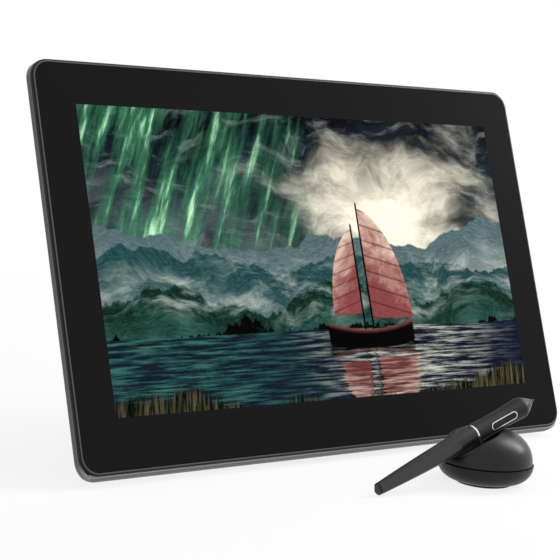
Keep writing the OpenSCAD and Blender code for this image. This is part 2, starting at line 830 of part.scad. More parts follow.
module pen_stand_weight() {
    color([0.5, 0.5, 0.52]) on_dome() translate([0, 0, bowl_floor]) difference() {
        cylinder(r = pit_r - 0.2, h = weight_h);
        translate([0, 0, -1]) cylinder(r = 8, h = weight_h + 2);
    }
}

// Angles of the spare nibs, kept clear of the pen trough
function nib_angles() = [for (i = [0 : 9]) -108 + i * 24];

module nib_tray() {
    color([0.3, 0.3, 0.31]) on_dome() translate([0, 0, step_z]) difference() {
        cylinder(r = well_r - 0.2, h = nib_tray_h);
        translate([0, 0, -1]) cylinder(r = hole_r + shell_t + 1.6, h = nib_tray_h + 2);
        for (a = nib_angles()) rotate(a) translate([nib_ring, 0, 1]) cylinder(r = nib_r + 0.1, h = nib_tray_h);
    }
}

module spare_nibs() {
    color([0.12, 0.12, 0.12]) on_dome() for (a = nib_angles()) rotate(a) translate([nib_ring, 0, step_z + 1]) {
        cylinder(r = nib_r, h = nib_l);
        translate([0, 0, nib_l]) sphere(nib_r);
    }
}

module pen_stand_foot() {
    color([0.08, 0.08, 0.08]) on_dome() difference() {
        cylinder(r = bowl_c - 1, h = bowl_low);
        translate([0, 0, -1]) cylinder(r = bowl_c - 11, h = bowl_low + 2);
    }
}

// Pen

// Outer radius of the rear barrel at a distance from the tail
function barrel_at(s) = tail_r + (ring_r - 0.1 - tail_r) * pow(sin(90 * s / ring_s), 0.9);

// Solid rear barrel with its two flats, between two distances from the tail
module barrel_form(s0, s1) {
    n = 14;
    lean = atan((ring_r - 0.7 - flat_half) / flat_run);
    difference() {
        turned() polygon(concat([[0, s0]], [for (i = [0 : n]) let (s = s0 + (s1 - s0) * i / n) [barrel_at(s), s]],
            [[0, s1]]));
        for (sy = [-1, 1]) rotate([sy * 14, 0, 0]) translate([0, sy * flat_half, 0]) rotate([0, 0, sy * lean])
            translate([-20, sy > 0 ? 0 : -20, -20]) cube([flat_run + 18, 20, 40]);
    }
}

module pen_barrel() {
    color([0.22, 0.22, 0.23]) on_pen() difference() {
        barrel_form(2.4, ring_s);
        turned() polygon([[0, 2], [2.2, 2], [2.2, 12], [core_r - 2.4, core_s - 20], [core_r + eps, core_s - 1],
            [core_r + eps, ring_s + 1], [0, ring_s + 1]]);
    }
}

module pen_tail_cap() {
    color([0.06, 0.06, 0.065]) on_pen() {
        barrel_form(0, 2.38);
        turned() translate([0, 2.3]) square([2.15, 8]);
    }
}

module pen_ring() {
    color([0.85, 0.85, 0.86]) on_pen() turned() translate([core_r + eps, ring_s])
        square([ring_r + 0.1 - core_r - eps, ring_l]);
}

// Outer radius of the grip at a distance from the tail
function grip_at(s) = let (t = (s - grip_s) / (flare_s - grip_s))
    waist_r + (ring_r - waist_r) * pow(max(0, 1 - t / 0.45), 2) + (flare_r - waist_r) * pow(max(0, (t - 0.45) / 0.55), 2);

// Solid grip, grown by a given amount
module grip_form(grow) {
    n = 20;
    turned() polygon(concat([[0, grip_s]],
        [for (i = [0 : n]) let (s = grip_s + (flare_s - grip_s) * i / n) [grip_at(s) + grow, s]],
        [[flare_r - 0.5 + grow, grip_end], [0, grip_end]]));
}

// Long slot shape of the key frame, cut through the side of the grip facing the viewer
module key_slot(l, w) {
    rotate([-key_turn, 0, 0]) translate([key_s, -4.4, 0]) rotate([90, 0, 0]) linear_extrude(12) stadium(l, w);
}

module pen_grip() {
    color([0.16, 0.16, 0.165]) on_pen() difference() {
        grip_form(0);
        turned() square([core_r + eps, pen_len]);
        key_slot(key_slot_l + 0.1, key_slot_w + 0.1);
    }
}

module pen_key_frame() {
    color([0.85, 0.85, 0.86]) on_pen() difference() {
        intersection() {
            key_slot(key_slot_l, key_slot_w);
            grip_form(0.3);
        }
        key_slot(key_slot_l - 2 * key_rim, key_slot_w - 2 * key_rim);
        turned() square([core_r + eps, pen_len]);
    }
}

// One pen key, on one side of the split
module pen_key(front) {
    l = key_slot_l - 2 * key_rim - 2 * pen_key_gap;
    w = key_slot_w - 2 * key_rim - 2 * pen_key_gap;
    difference() {
        intersection() {
            key_slot(l, w);
            grip_form(0.7);
        }
        turned() square([core_r + 0.4, pen_len]);
        if (front) translate([0, -20, -20]) cube([key_s + key_split + pen_key_gap / 2, 40, 40]);
        if (!front) translate([key_s + key_split - pen_key_gap / 2, -20, -20]) cube([60, 40, 40]);
    }
}

module pen_front_key() {
    color([0.1, 0.1, 0.1]) on_pen() pen_key(true);
}

module pen_rear_key() {
    color([0.1, 0.1, 0.1]) on_pen() pen_key(false);
}

module pen_nose() {
    color([0.14, 0.14, 0.145]) on_pen() difference() {
        turned() polygon([[0, grip_end], [flare_r - 0.6, grip_end], [flare_r - 1.5, grip_end + 2.2],
            [flare_r - 3, grip_end + 5.2], [flare_r - 4.8, grip_end + 8.2], [2, nose_end], [0, nose_end]]);
        turned() square([nib_r + slip, pen_len]);
        turned() square([core_bore, grip_end + 1.5]);
    }
}

module pen_core() {
    color([0.35, 0.35, 0.36]) on_pen() turned() translate([core_bore, core_s])
        square([core_r - core_bore, core_end - core_s]);
}

module pen_circuit() {
    color([0.04, 0.35, 0.22]) on_pen() {
        translate([core_s + 4, -2.9, -0.5]) cube([sensor_s - core_s - 4, 5.8, 1]);
        translate([core_s + 20, -1.5, 0.4]) cube([5, 3, 0.9]);
        translate([core_s + 40, -1.2, 0.4]) cube([3, 2.4, 0.7]);
    }
}

module pressure_sensor() {
    color([0.55, 0.55, 0.56]) on_pen() turned() translate([0, sensor_s]) square([core_bore - 0.05, nib_in - 2 - sensor_s]);
}

module pen_coil() {
    color([0.6, 0.35, 0.15]) on_pen() turned() translate([nib_r + slip, coil_s])
        square([core_bore - 0.05 - nib_r - slip, coil_l]);
}

module pen_nib() {
    color([0.1, 0.1, 0.1]) on_pen() {
        turned() translate([0, nib_in]) square([nib_r, pen_len - nib_r - nib_in]);
        translate([pen_len - nib_r, 0, 0]) sphere(nib_r);
    }
}

cover_glass();
glass_adhesive();
front_frame();
lcd_panel();
diffuser_sheets();
light_guide();
led_strip();
reflector_sheet();
backlight_tray();
digitizer_board();
shield_plate();
main_board();
board_screws();
key_board();
back_cover();
hdmi_port();
usb_port();
dc_jack();
threaded_inserts();
housing_screws();
back_pads();
power_key();
menu_key();
plus_key();
minus_key();
input_key();
stand_bracket();
bracket_screws();
prop_pivot_pin();
prop_arm();
prop_foot_pin();
stand_base();
base_feet();
tilt_hinge_pin();
pen_stand_shell();
pen_stand_base();
pen_stand_weight();
nib_tray();
spare_nibs();
pen_stand_foot();
pen_barrel();
pen_tail_cap();
pen_ring();
pen_grip();
pen_key_frame();
pen_front_key();
pen_rear_key();
pen_nose();
pen_core();
pen_circuit();
pressure_sensor();
pen_coil();
pen_nib();
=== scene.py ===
import json
import math

import bpy
import numpy as np
from bpy.props import FloatProperty, FloatVectorProperty, PointerProperty
from bpy.types import Operator, Panel, PropertyGroup
from mathutils import Matrix


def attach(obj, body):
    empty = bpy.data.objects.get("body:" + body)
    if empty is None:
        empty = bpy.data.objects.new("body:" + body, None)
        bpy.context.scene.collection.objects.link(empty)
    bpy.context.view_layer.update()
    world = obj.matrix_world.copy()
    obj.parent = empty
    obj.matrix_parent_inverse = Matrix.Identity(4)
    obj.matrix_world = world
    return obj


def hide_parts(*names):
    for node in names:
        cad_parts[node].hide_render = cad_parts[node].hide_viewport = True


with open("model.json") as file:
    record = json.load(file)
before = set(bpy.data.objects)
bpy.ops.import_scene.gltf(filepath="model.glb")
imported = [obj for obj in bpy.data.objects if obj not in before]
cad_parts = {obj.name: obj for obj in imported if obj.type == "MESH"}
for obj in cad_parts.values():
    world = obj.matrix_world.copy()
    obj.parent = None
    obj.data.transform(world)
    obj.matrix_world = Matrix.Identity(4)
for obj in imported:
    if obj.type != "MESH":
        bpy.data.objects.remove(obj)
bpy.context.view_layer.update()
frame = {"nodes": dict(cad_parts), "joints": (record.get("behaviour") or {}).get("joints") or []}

bl_info = {
    "name": "Pen Display Dressing",
    "version": (1, 0, 0),
    "blender": (4, 5, 0),
    "location": "View3D > Sidebar > Pen Display",
    "description": "Finishes for a pen display, its easel stand, pen and pen stand, and a studio stage",
    "category": "Object",
}

NODES = frame["nodes"]
JOINTS = {joint["name"]: joint for joint in frame["joints"]}
STAND_AXIS = JOINTS["shell_twist"]["pos_m"]
SHARP_ANGLE = math.radians(40)
SHEEN_ROUGHNESS = 0.25
# Width of the painted picture over its height
PICTURE_ASPECT = 1.82


def tone(red, green, blue):
    """A display colour, 0 to 255 a channel, as the linear colour that a shader takes."""
    shares = np.array([red, green, blue], float) / 255
    linear = np.where(shares <= 0.04045, shares / 12.92, ((shares + 0.055) / 1.055) ** 2.4)
    return tuple(float(x) for x in linear) + (1.0,)


def lighter(colour, by):
    """The same hue with each channel multiplied, kept below full white."""
    return tuple(min(0.95, c * by) for c in colour[:3]) + (1.0,)


# Settings that a user would change


def length_setting(name, description, metres):
    """A size or distance."""
    return FloatProperty(name=name, description=description, default=metres, unit="LENGTH")


def angle_setting(name, description, degrees):
    """An angle, given in degrees."""
    return FloatProperty(name=name, description=description, default=math.radians(degrees),
                         subtype="ANGLE")


def colour_setting(name, description, channels):
    """A colour, given as display values from 0 to 255."""
    return FloatVectorProperty(name=name, description=description, default=tone(*channels)[:3],
                               subtype="COLOR", min=0, max=1)


def place_setting(name, description, metres):
    """A point in the frame of the object."""
    return FloatVectorProperty(name=name, description=description, default=metres,
                               subtype="TRANSLATION", unit="LENGTH")


class ScreenSettings(PropertyGroup):
    """Sizes and colours of the screen unit."""

    picture_width: length_setting("Picture Width", "Width of the lit picture area", 0.4349)
    picture_height: length_setting("Picture Height", "Height of the lit picture area", 0.2387)
    picture_centre: place_setting("Picture Centre", "Middle of the picture on the glass",
                                  (0.0, 0.02456, 0.16025))
    lean: angle_setting("Lean", "Angle of the screen above the desk", 70)
    lip_width: length_setting("Lip Width", "Width over the thin lip round the glass", 0.504)
    lip_height: length_setting("Lip Height", "Height over the thin lip round the glass", 0.3139)
    lip_corner: length_setting("Lip Corner", "Corner radius of the lip", 0.01505)
    lip_drop: length_setting("Lip Drop", "How far the middle of the lip lies below the picture's", 0.00325)
    border_tone: colour_setting("Border", "Black print behind the glass border", (29, 29, 30))
    lip_tone: colour_setting("Lip", "Thin moulded lip round the glass", (11, 11, 12))
    # Lip Line is a painted highlight: the pale line on the lip's inner edge stands in for the light that
    # the edge catches
    lip_highlight_tone: colour_setting("Lip Line", "Polished line along the inner edge of the lip", (82, 83, 85))
    # Rear Cover and Chin are shaded and lit copies of one moulded colour: the side wall and rear are
    # painted darker, as in shade, and the strip along the lower edge is painted paler, as lit by the white
    # floor it faces
    cover_tone: colour_setting("Rear Cover", "Moulded rear cover and side wall", (64, 65, 67))
    lit_chin_tone: colour_setting("Chin", "Paler strip of the cover along the lower edge", (86, 87, 89))
    # Edge Shine sets a painted highlight: the front and rear edges of the side wall are painted paler in
    # place of the light that catches them
    edge_highlight_share: FloatProperty(name="Edge Shine", default=3.6, min=1,
                              description="How much paler the edges of the side wall are")
    wall_front: length_setting("Side Wall Front", "How far its front edge lies behind the glass", 0.0028)
    wall_rear: length_setting("Side Wall Rear", "How far its rear edge lies behind the glass", 0.0083)
    key_tone: colour_setting("Keys", "Keys on the right edge", (46, 46, 48))


class StandSettings(PropertyGroup):
    """Sizes and colours of the easel stand and the pen stand."""

    coat_tone: colour_setting("Powder Coat", "Coat on the folded sheet of the easel stand", (44, 44, 46))
    pin_tone: colour_setting("Pins and Screws", "Bare steel of pins and screws", (186, 187, 190))
    rubber_tone: colour_setting("Rubber", "Feet and pads", (34, 34, 35))
    shell_tone: colour_setting("Pen Stand Shell", "Domed shell of the pen stand", (22, 22, 24))
    bowl_tone: colour_setting("Pen Stand Base", "Bowl under the shell", (18, 19, 20))
    shell_radius: length_setting("Shell Radius", "Outer radius of the pen stand's shell", 0.0368)
    stand_height: length_setting("Stand Height", "Height of the pen stand", 0.042)
    dome_round: length_setting("Dome Round", "Radius of the shell's rounded section", 0.024)
    hole_radius: length_setting("Pen Hole", "Radius of the upright pen hole", 0.0092)
    seam_height: length_setting("Seam Height", "Height of the seam between shell and base", 0.017)
    shell_wall: length_setting("Shell Wall", "Wall thickness of the shell", 0.0022)
    trough_radius: length_setting("Trough Radius", "Radius of the pen trough", 0.024)
    trough_height: length_setting("Trough Height", "Height of the trough's axis at the middle", 0.06158)
    trough_slope: angle_setting("Trough Slope", "Slope of the pen trough", 20.4)
    edge_round: length_setting("Edge Round", "How soft the edges of trough and hole are", 0.0009)


class PenSettings(PropertyGroup):
    """Sizes and colours of the pen."""

    rise: angle_setting("Rise", "Slope of the pen above the desk", 19.5)
    tail_to_stand: length_setting("Tail to Stand", "From the tail to above the stand's middle", 0.1194)
    axis_height: length_setting("Axis Height", "Height of the pen's axis over the stand's middle", 0.0448)
    barrel_start: length_setting("Barrel Start", "From the tail to where the barrel begins", 0.0024)
    ring_place: length_setting("Ring Place", "From the tail to the bright ring", 0.10062)
    tail_radius: length_setting("Tail Radius", "Radius of the barrel at the tail", 0.0045)
    ring_radius: length_setting("Ring Radius", "Radius of the barrel at the bright ring", 0.008)
    flat_half: length_setting("Half Across Flats", "From the axis to a flat at the tail", 0.0031)
    flat_slope: FloatProperty(name="Flat Slope", description="How fast a flat draws away from the axis",
                              default=0.0512)
    flat_end: length_setting("Flat End", "From the tail to the rounded end of a flat", 0.082)
    flat_turn: angle_setting("Flat Turn", "How far a flat is turned up from the side", 14)
    barrel_tone: colour_setting("Barrel", "Rear barrel", (26, 27, 28))
    # Barrel Flats is painted light: the flats are painted paler than the barrel, standing in for the light
    # that they catch
    flat_lit_tone: colour_setting("Barrel Flats", "Long flats of the rear barrel", (54, 55, 56))
    grip_tone: colour_setting("Grip", "Soft front grip", (20, 20, 21))
    ring_tone: colour_setting("Bright Trim", "Plated ring and key frame", (228, 229, 232))


class StageSettings(PropertyGroup):
    """Camera, lamps and floor."""

    camera_place: place_setting("Camera Place", "Where the camera stands",
                                (-0.850889, -0.986154, 0.299785))
    camera_turn: angle_setting("Camera Turn", "Heading to the right of straight ahead", 38.6935)
    camera_drop: angle_setting("Camera Drop", "How far the camera looks down", 7.0)
    camera_roll: angle_setting("Camera Roll", "Lean of the camera about its line of sight", 4.15)
    lens: FloatProperty(name="Lens", description="Focal length on a 36 mm sensor", default=103.375)
    sky_level: FloatProperty(name="Room Light", description="Strength of the even light from all round",
                             default=0.62, min=0, max=2)
    key_power: FloatProperty(name="Key Lamp", description="Power of the large lamp high at the right",
                             default=20.0, min=0, unit="POWER")
    key_place: place_setting("Key Lamp Place", "Where the large lamp hangs", (1.35, -0.35, 1.55))
    key_size: length_setting("Key Lamp Size", "Width of the large lamp", 1.1)
    side_power: FloatProperty(name="Side Lamp", description="Power of the low lamp at the right",
                              default=6.0, min=0, unit="POWER")
    side_place: place_setting("Side Lamp Place", "Where the low lamp stands", (1.36, -0.47, 0.8))
    side_size: length_setting("Side Lamp Size", "Width of the low lamp", 0.45)
    lamp_aim: place_setting("Lamp Aim", "The point that both lamps look at", (0.0, -0.02, 0.12))
    floor_tone: FloatVectorProperty(name="Floor", description="Pale floor",
                                    default=(0.94, 0.94, 0.94), subtype="COLOR", min=0, max=1)


# Shader values as Python expressions


class Wire:
    """One shader value that takes part in Python arithmetic; each operation adds one Math node."""

    def __init__(self, tree, socket=None):
        self.tree = tree
        self.socket = socket

    def node(self, kind, settings=None, sockets=None, out=0):
        """Adds any node: its settings are set first, then its sockets get values or links."""
        made = self.tree.nodes.new(kind)
        for key, value in (settings or {}).items():
            setattr(made, key, value)
        for key, value in (sockets or {}).items():
            if isinstance(value, Wire):
                self.tree.links.new(value.socket, made.inputs[key])
            else:
                made.inputs[key].default_value = value
        return Wire(self.tree, made.outputs[out])

    def math(self, operation, *values):
        """A Math node of this operation on the values."""
        return self.node("ShaderNodeMath", {"operation": operation}, dict(enumerate(values)))

    def __add__(self, other):
        return self.math("ADD", self, other)

    def __radd__(self, other):
        return self.math("ADD", other, self)

    def __sub__(self, other):
        return self.math("SUBTRACT", self, other)

    def __rsub__(self, other):
        return self.math("SUBTRACT", other, self)

    def __mul__(self, other):
        return self.math("MULTIPLY", self, other)

    def __rmul__(self, other):
        return self.math("MULTIPLY", other, self)

    def __truediv__(self, other):
        return self.math("DIVIDE", self, other)

    def __rtruediv__(self, other):
        return self.math("DIVIDE", other, self)

    def __pow__(self, other):
        return self.math("POWER", self, other)

    def __rpow__(self, other):
        return self.math("POWER", other, self)

    def __abs__(self):
        return self.math("ABSOLUTE", self)

    def less(self, limit):
        """1 where the value is below the limit."""
        return self.math("LESS_THAN", self, limit)

    def bigger(self, other):
        """The larger of two values."""
        return self.math("MAXIMUM", self, other)

    def smaller(self, other):
        """The smaller of two values."""
        return self.math("MINIMUM", self, other)

    def seen(self):
        """1 for rays from the camera and for rays that a gloss or a clear piece sends on."""
        straight = self.node("ShaderNodeLightPath", out="Is Camera Ray")
        kinds = straight.socket.node.outputs
        mirrored = Wire(self.tree, kinds["Is Glossy Ray"])
        passed_on = Wire(self.tree, kinds["Is Transmission Ray"])
        return straight.bigger(mirrored.bigger(passed_on))

    def step(self, low, high):
        """A smooth rise from 0 at low to 1 at high."""
        return self.node("ShaderNodeMapRange", {"interpolation_type": "SMOOTHSTEP"},
                         {"Value": self, "From Min": low, "From Max": high})

    def between(self, first, second):
        """The colour between two colours, with this value as the share of the second."""
        return self.node("ShaderNodeMix", {"data_type": "RGBA", "clamp_factor": True},
                         {0: self, 6: first, 7: second}, out=2)

    def noise(self, scale, detail=2.0, rough=0.5, out=0):
        """Cloudy noise over this vector."""
        return self.node("ShaderNodeTexNoise", None,
                         {"Vector": self, "Scale": scale, "Detail": detail, "Roughness": rough}, out)

    def cells(self, scale, feature="F1", out=0):
        """Cell noise over this vector."""
        return self.node("ShaderNodeTexVoronoi", {"feature": feature},
                         {"Vector": self, "Scale": scale}, out)

    def laid(self, turn, place=(0, 0, 0)):
        """This vector measured from a place, in a turned frame."""
        return self.node("ShaderNodeMapping", {"vector_type": "TEXTURE"},
                         {"Vector": self, "Location": place, "Rotation": turn})

    def stretched(self, size):
        """This vector multiplied along each axis."""
        return self.node("ShaderNodeVectorMath", {"operation": "MULTIPLY"}, {0: self, 1: size})

    def parts(self):
        """The three numbers of this vector."""
        split = self.node("ShaderNodeSeparateXYZ", None, {0: self})
        owner = split.socket.node
        return [Wire(self.tree, owner.outputs[i]) for i in range(3)]

    def relief(self, depth, edge):
        """A surface normal raised by this height, over edges that are rounded by a small radius."""
        rounded = self.node("ShaderNodeBevel", {"samples": 6}, {"Radius": edge})
        return self.node("ShaderNodeBump", None,
                         {"Strength": 1.0, "Distance": depth, "Height": self, "Normal": rounded})


def finish(name, varied, **constants):
    """One material: constants go straight onto the shader, varied() gives what changes over a surface."""
    made = bpy.data.materials.new(name)
    made.use_nodes = True
    tree = made.node_tree
    shader = tree.nodes["Principled BSDF"]
    for key, value in constants.items():
        shader.inputs[key.replace("_", " ")].default_value = value
    place = Wire(tree).node("ShaderNodeTexCoord", out="Object")
    for key, wire in varied(place).items():
        tree.links.new(wire.socket, shader.inputs[key.replace("_", " ")])
    return made


def rgba(colour):
    """A colour property with full alpha."""
    return tuple(colour)[:3] + (1.0,)


def dress(node, material):
    """Gives a CAD node its finish."""
    data = NODES[node].data
    data.materials.clear()
    data.materials.append(material)


# Finishes


def mottled(share, colour, first, second):
    """A colour that changes between two tints of itself."""
    return share.between(lighter(colour, first), lighter(colour, second))


def moulded(name, colour, rough, grain=1900.0, depth=2.5e-5, edge=3e-4, shine=0.5, sheen=0.0):
    """Moulded plastic: an even spark-eroded grain, faint cloudy flow marks and a slightly uneven gloss."""
    def varied(place):
        cloud = place.noise(38, 3)
        fine = place.noise(grain, 2, 0.6)
        return {"Base_Color": mottled(cloud * 0.6 + fine * 0.4, colour, 0.84, 1.14),
                "Roughness": rough + (fine - 0.5) * 0.14 + (cloud - 0.5) * 0.1,
                "Normal": fine.relief(depth, edge)}
    return finish(name, varied, Specular_IOR_Level=shine, Sheen_Weight=sheen,
                  Sheen_Roughness=SHEEN_ROUGHNESS)


def powder_coated(name, colour):
    """Powder coat: an orange peel of small cells, with the coat thinner and paler in specks."""
    def varied(place):
        peel = place.noise(620, 3, 0.55)
        speck = place.cells(1500).step(0.02, 0.3)
        return {"Base_Color": mottled(speck, colour, 1.5, 0.96),
                "Roughness": 0.5 + (peel - 0.5) * 0.3,
                "Normal": peel.relief(6e-5, 4e-4)}
    return finish(name, varied, Specular_IOR_Level=0.45)


def drawn_steel(name, colour, along, rough=0.3):
    """Drawn or turned metal: fine lines along one axis and a few duller patches."""
    def varied(place):
        lines = place.stretched(along).noise(1, 3, 0.6)
        dull = place.noise(90, 2)
        return {"Base_Color": mottled(lines, colour, 0.78, 1.05),
                "Roughness": rough + (lines - 0.5) * 0.2 + (dull - 0.5) * 0.15,
                "Normal": lines.relief(1.2e-5, 2.5e-4)}
    return finish(name, varied, Metallic=1.0)


def plated(name, colour):
    """Bright plating: nearly a mirror, with faint wipe marks."""
    def varied(place):
        wipe = place.stretched((260, 900, 900)).noise(1, 2)
        return {"Base_Color": wipe.between(lighter(colour, 0.93), colour),
                "Roughness": 0.1 + wipe * 0.1,
                "Normal": wipe.relief(4e-6, 1.5e-4)}
    return finish(name, varied, Metallic=1.0)


def soft_rubber(name, colour, rough=0.78, grain=2400.0, shine=0.35):
    """Rubber: a dry mottled skin with a dusty bloom."""
    def varied(place):
        bloom = place.noise(70, 4, 0.6)
        skin = place.noise(grain, 2, 0.6)
        return {"Base_Color": bloom.step(0.35, 0.75).between(colour, lighter(colour, 1.35)),
                "Roughness": rough + (skin - 0.5) * 0.16,
                "Normal": skin.relief(4e-5, 4e-4)}
    return finish(name, varied, Specular_IOR_Level=shine, Sheen_Weight=0.25,
                  Sheen_Roughness=SHEEN_ROUGHNESS)


def circuit_board(name, turn):
    """Circuit board: green solder mask with paler tracks between cells, and gold pads."""
    mask, track, pad = tone(16, 74, 48), tone(34, 112, 70), tone(206, 168, 92)
    def varied(place):
        flat = place.laid(turn)
        edge = flat.cells(420, "DISTANCE_TO_EDGE")
        dots = flat.cells(300)
        is_pad = dots.less(0.16)
        lines = 1 - edge.step(0.03, 0.09)
        return {"Base_Color": is_pad.between(lines.between(mask, track), pad),
                "Metallic": is_pad * 0.9,
                "Roughness": 0.34 + place.noise(500) * 0.14,
                "Normal": (lines * 0.5 + is_pad).relief(3e-5, 2e-4)}
    return finish(name, varied)


def optic_film(name, colour, turn):
    """Optical sheet: a pale film with very fine ribs and a pearly unevenness."""
    def varied(place):
        flat = place.laid(turn)
        ribs = flat.stretched((3800, 20, 20)).noise(1, 0)
        pearl = place.noise(24, 3)
        return {"Base_Color": pearl.between(lighter(colour, 0.93), colour),
                "Roughness": 0.35 + ribs * 0.2,
                "Normal": ribs.relief(8e-6, 1e-4)}
    return finish(name, varied)


def dotted_guide(name, colour, turn):
    """Light guide: clear acrylic printed with a grid of matt white dots."""
    def varied(place):
        dots = place.laid(turn).cells(560).less(0.3)
        return {"Base_Color": dots.between(colour, (0.92, 0.92, 0.92, 1)),
                "Roughness": 0.08 + dots * 0.5,
                "Normal": dots.relief(1e-5, 1e-4)}
    return finish(name, varied, Coat_Weight=0.4)


def sheet_metal(name, colour, turn):
    """Rolled sheet: long faint rolling lines and a dull zinc bloom."""
    def varied(place):
        flat = place.laid(turn)
        rolled = flat.stretched((12, 900, 900)).noise(1, 3)
        bloom = flat.cells(130, out=1).node("ShaderNodeRGBToBW")
        return {"Base_Color": mottled(rolled * 0.5 + bloom * 0.5, colour, 0.8, 1.08),
                "Roughness": 0.36 + (rolled - 0.5) * 0.2 + bloom * 0.1,
                "Normal": rolled.relief(1.2e-5, 2e-4)}
    return finish(name, varied, Metallic=1.0)


def wound_copper(name, turn):
    """Copper winding: close turns of enamelled wire across the pen's axis, with painted shade in the
    grooves between turns and a painted highlight on each turn's crest.
    """
    radians_a_metre = 12000
    def varied(place):
        along = place.laid(turn).parts()[0]
        turns = along.math("SINE", along * radians_a_metre) * 0.5 + 0.5
        # Painted shade and highlight: the copper is darker between turns and paler on their crests
        return {"Base_Color": turns.between(tone(84, 40, 18), tone(196, 112, 60)),
                "Roughness": 0.28 + turns * 0.1,
                "Normal": turns.relief(8e-5, 1e-4)}
    return finish(name, varied, Metallic=0.9)


# Pieces


def once_round(count):
    """Evenly spaced angles once round, as one row."""
    return np.linspace(0, 2 * np.pi, count, endpoint=False)[None]


def sweep(name, points, material, body, shares=None):
    """A closed surface from a grid of points: rows run along the piece and columns run round it.

    points is an array of rows x columns x 3. Each quad joins a row and the next one, a column and the
    next one, and the first and last rows are closed by a fan to their mean point. Edges over the sharp
    angle stay sharp. shares is one number a point, which a finish can read as the attribute "share".
    """
    rows, columns = points.shape[:2]
    grid = np.arange(rows * columns).reshape(rows, columns)
    a, b = grid[:-1], grid[1:]
    quads = np.stack([a, np.roll(a, -1, 1), np.roll(b, -1, 1), b], -1).reshape(-1, 4)
    first, last = rows * columns, rows * columns + 1
    start = np.stack([np.full(columns, first), np.roll(grid[0], -1), grid[0]], -1)
    end = np.stack([np.full(columns, last), grid[-1], np.roll(grid[-1], -1)], -1)
    places = np.concatenate([points.reshape(-1, 3), points[0].mean(0)[None], points[-1].mean(0)[None]])
    mesh = bpy.data.meshes.new(name)
    mesh.from_pydata(places.tolist(), [], quads.tolist() + start.tolist() + end.tolist())
    mesh.validate()
    mesh.shade_smooth()
    mesh.set_sharp_from_angle(angle=SHARP_ANGLE)
    if shares is not None:
        worth = mesh.attributes.new("share", "FLOAT", "POINT")
        worth.data.foreach_set("value", np.append(shares.ravel(), [0.0, 0.0]).astype(np.float32))
    piece = bpy.data.objects.new(name, mesh)
    bpy.context.scene.collection.objects.link(piece)
    mesh.materials.append(material)
    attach(piece, body)
    return piece


def barrel_skin(settings):
    """Points of the rear barrel, and which of them lie on a flat.

    The barrel is a round taper whose radius grows with a power of a sine, with two long flats. Round the
    axis, the reach is a soft minimum of the radius and of each flat's level over the cosine of the angle
    from that flat. A flat ends in a round nail, past which its level rises clear of the barrel. A point
    lies on a flat where its reach falls short of the radius.
    """
    rows, columns, swell, blend, tiny = 220, 144, 0.9, 2.5e-4, 1e-6
    sharp, nail, rise, reach_out = 24, 0.003, 0.0009, 0.0012
    along = np.array([math.cos(settings.rise), 0.0, math.sin(settings.rise)])
    across = np.array([0.0, 1.0, 0.0])
    raised = np.cross(along, across)
    over = np.array([STAND_AXIS[0], STAND_AXIS[1], settings.axis_height])
    tail = over - along * settings.tail_to_stand
    run = np.linspace(settings.barrel_start, settings.ring_place, rows)[:, None]
    angle = once_round(columns)
    taper = np.sin(np.pi / 2 * run / settings.ring_place) ** swell
    radius = settings.tail_radius + (settings.ring_radius - settings.tail_radius) * taper
    level = settings.flat_half + settings.flat_slope * run
    total = (settings.ring_radius / radius) ** sharp + 0 * angle
    for facing in (settings.flat_turn, np.pi - settings.flat_turn):
        facing_cos = np.maximum(np.cos(angle - facing), tiny)
        sideways = level * np.sin(angle - facing) / facing_cos
        end = settings.flat_end - nail + np.sqrt(np.maximum(nail ** 2 - sideways ** 2, 0))
        lift = np.clip((run - end) / rise, 0, 1)
        clear = level + reach_out * lift * lift * (3 - 2 * lift)
        total = total + (settings.ring_radius * facing_cos / clear) ** sharp
    reach = settings.ring_radius * total ** (-1 / sharp)
    spoke = across * np.cos(angle)[..., None] + raised * np.sin(angle)[..., None]
    flats = np.clip((radius - reach) / blend, 0, 1)
    return tail + along * run[..., None] + spoke * reach[..., None], flats


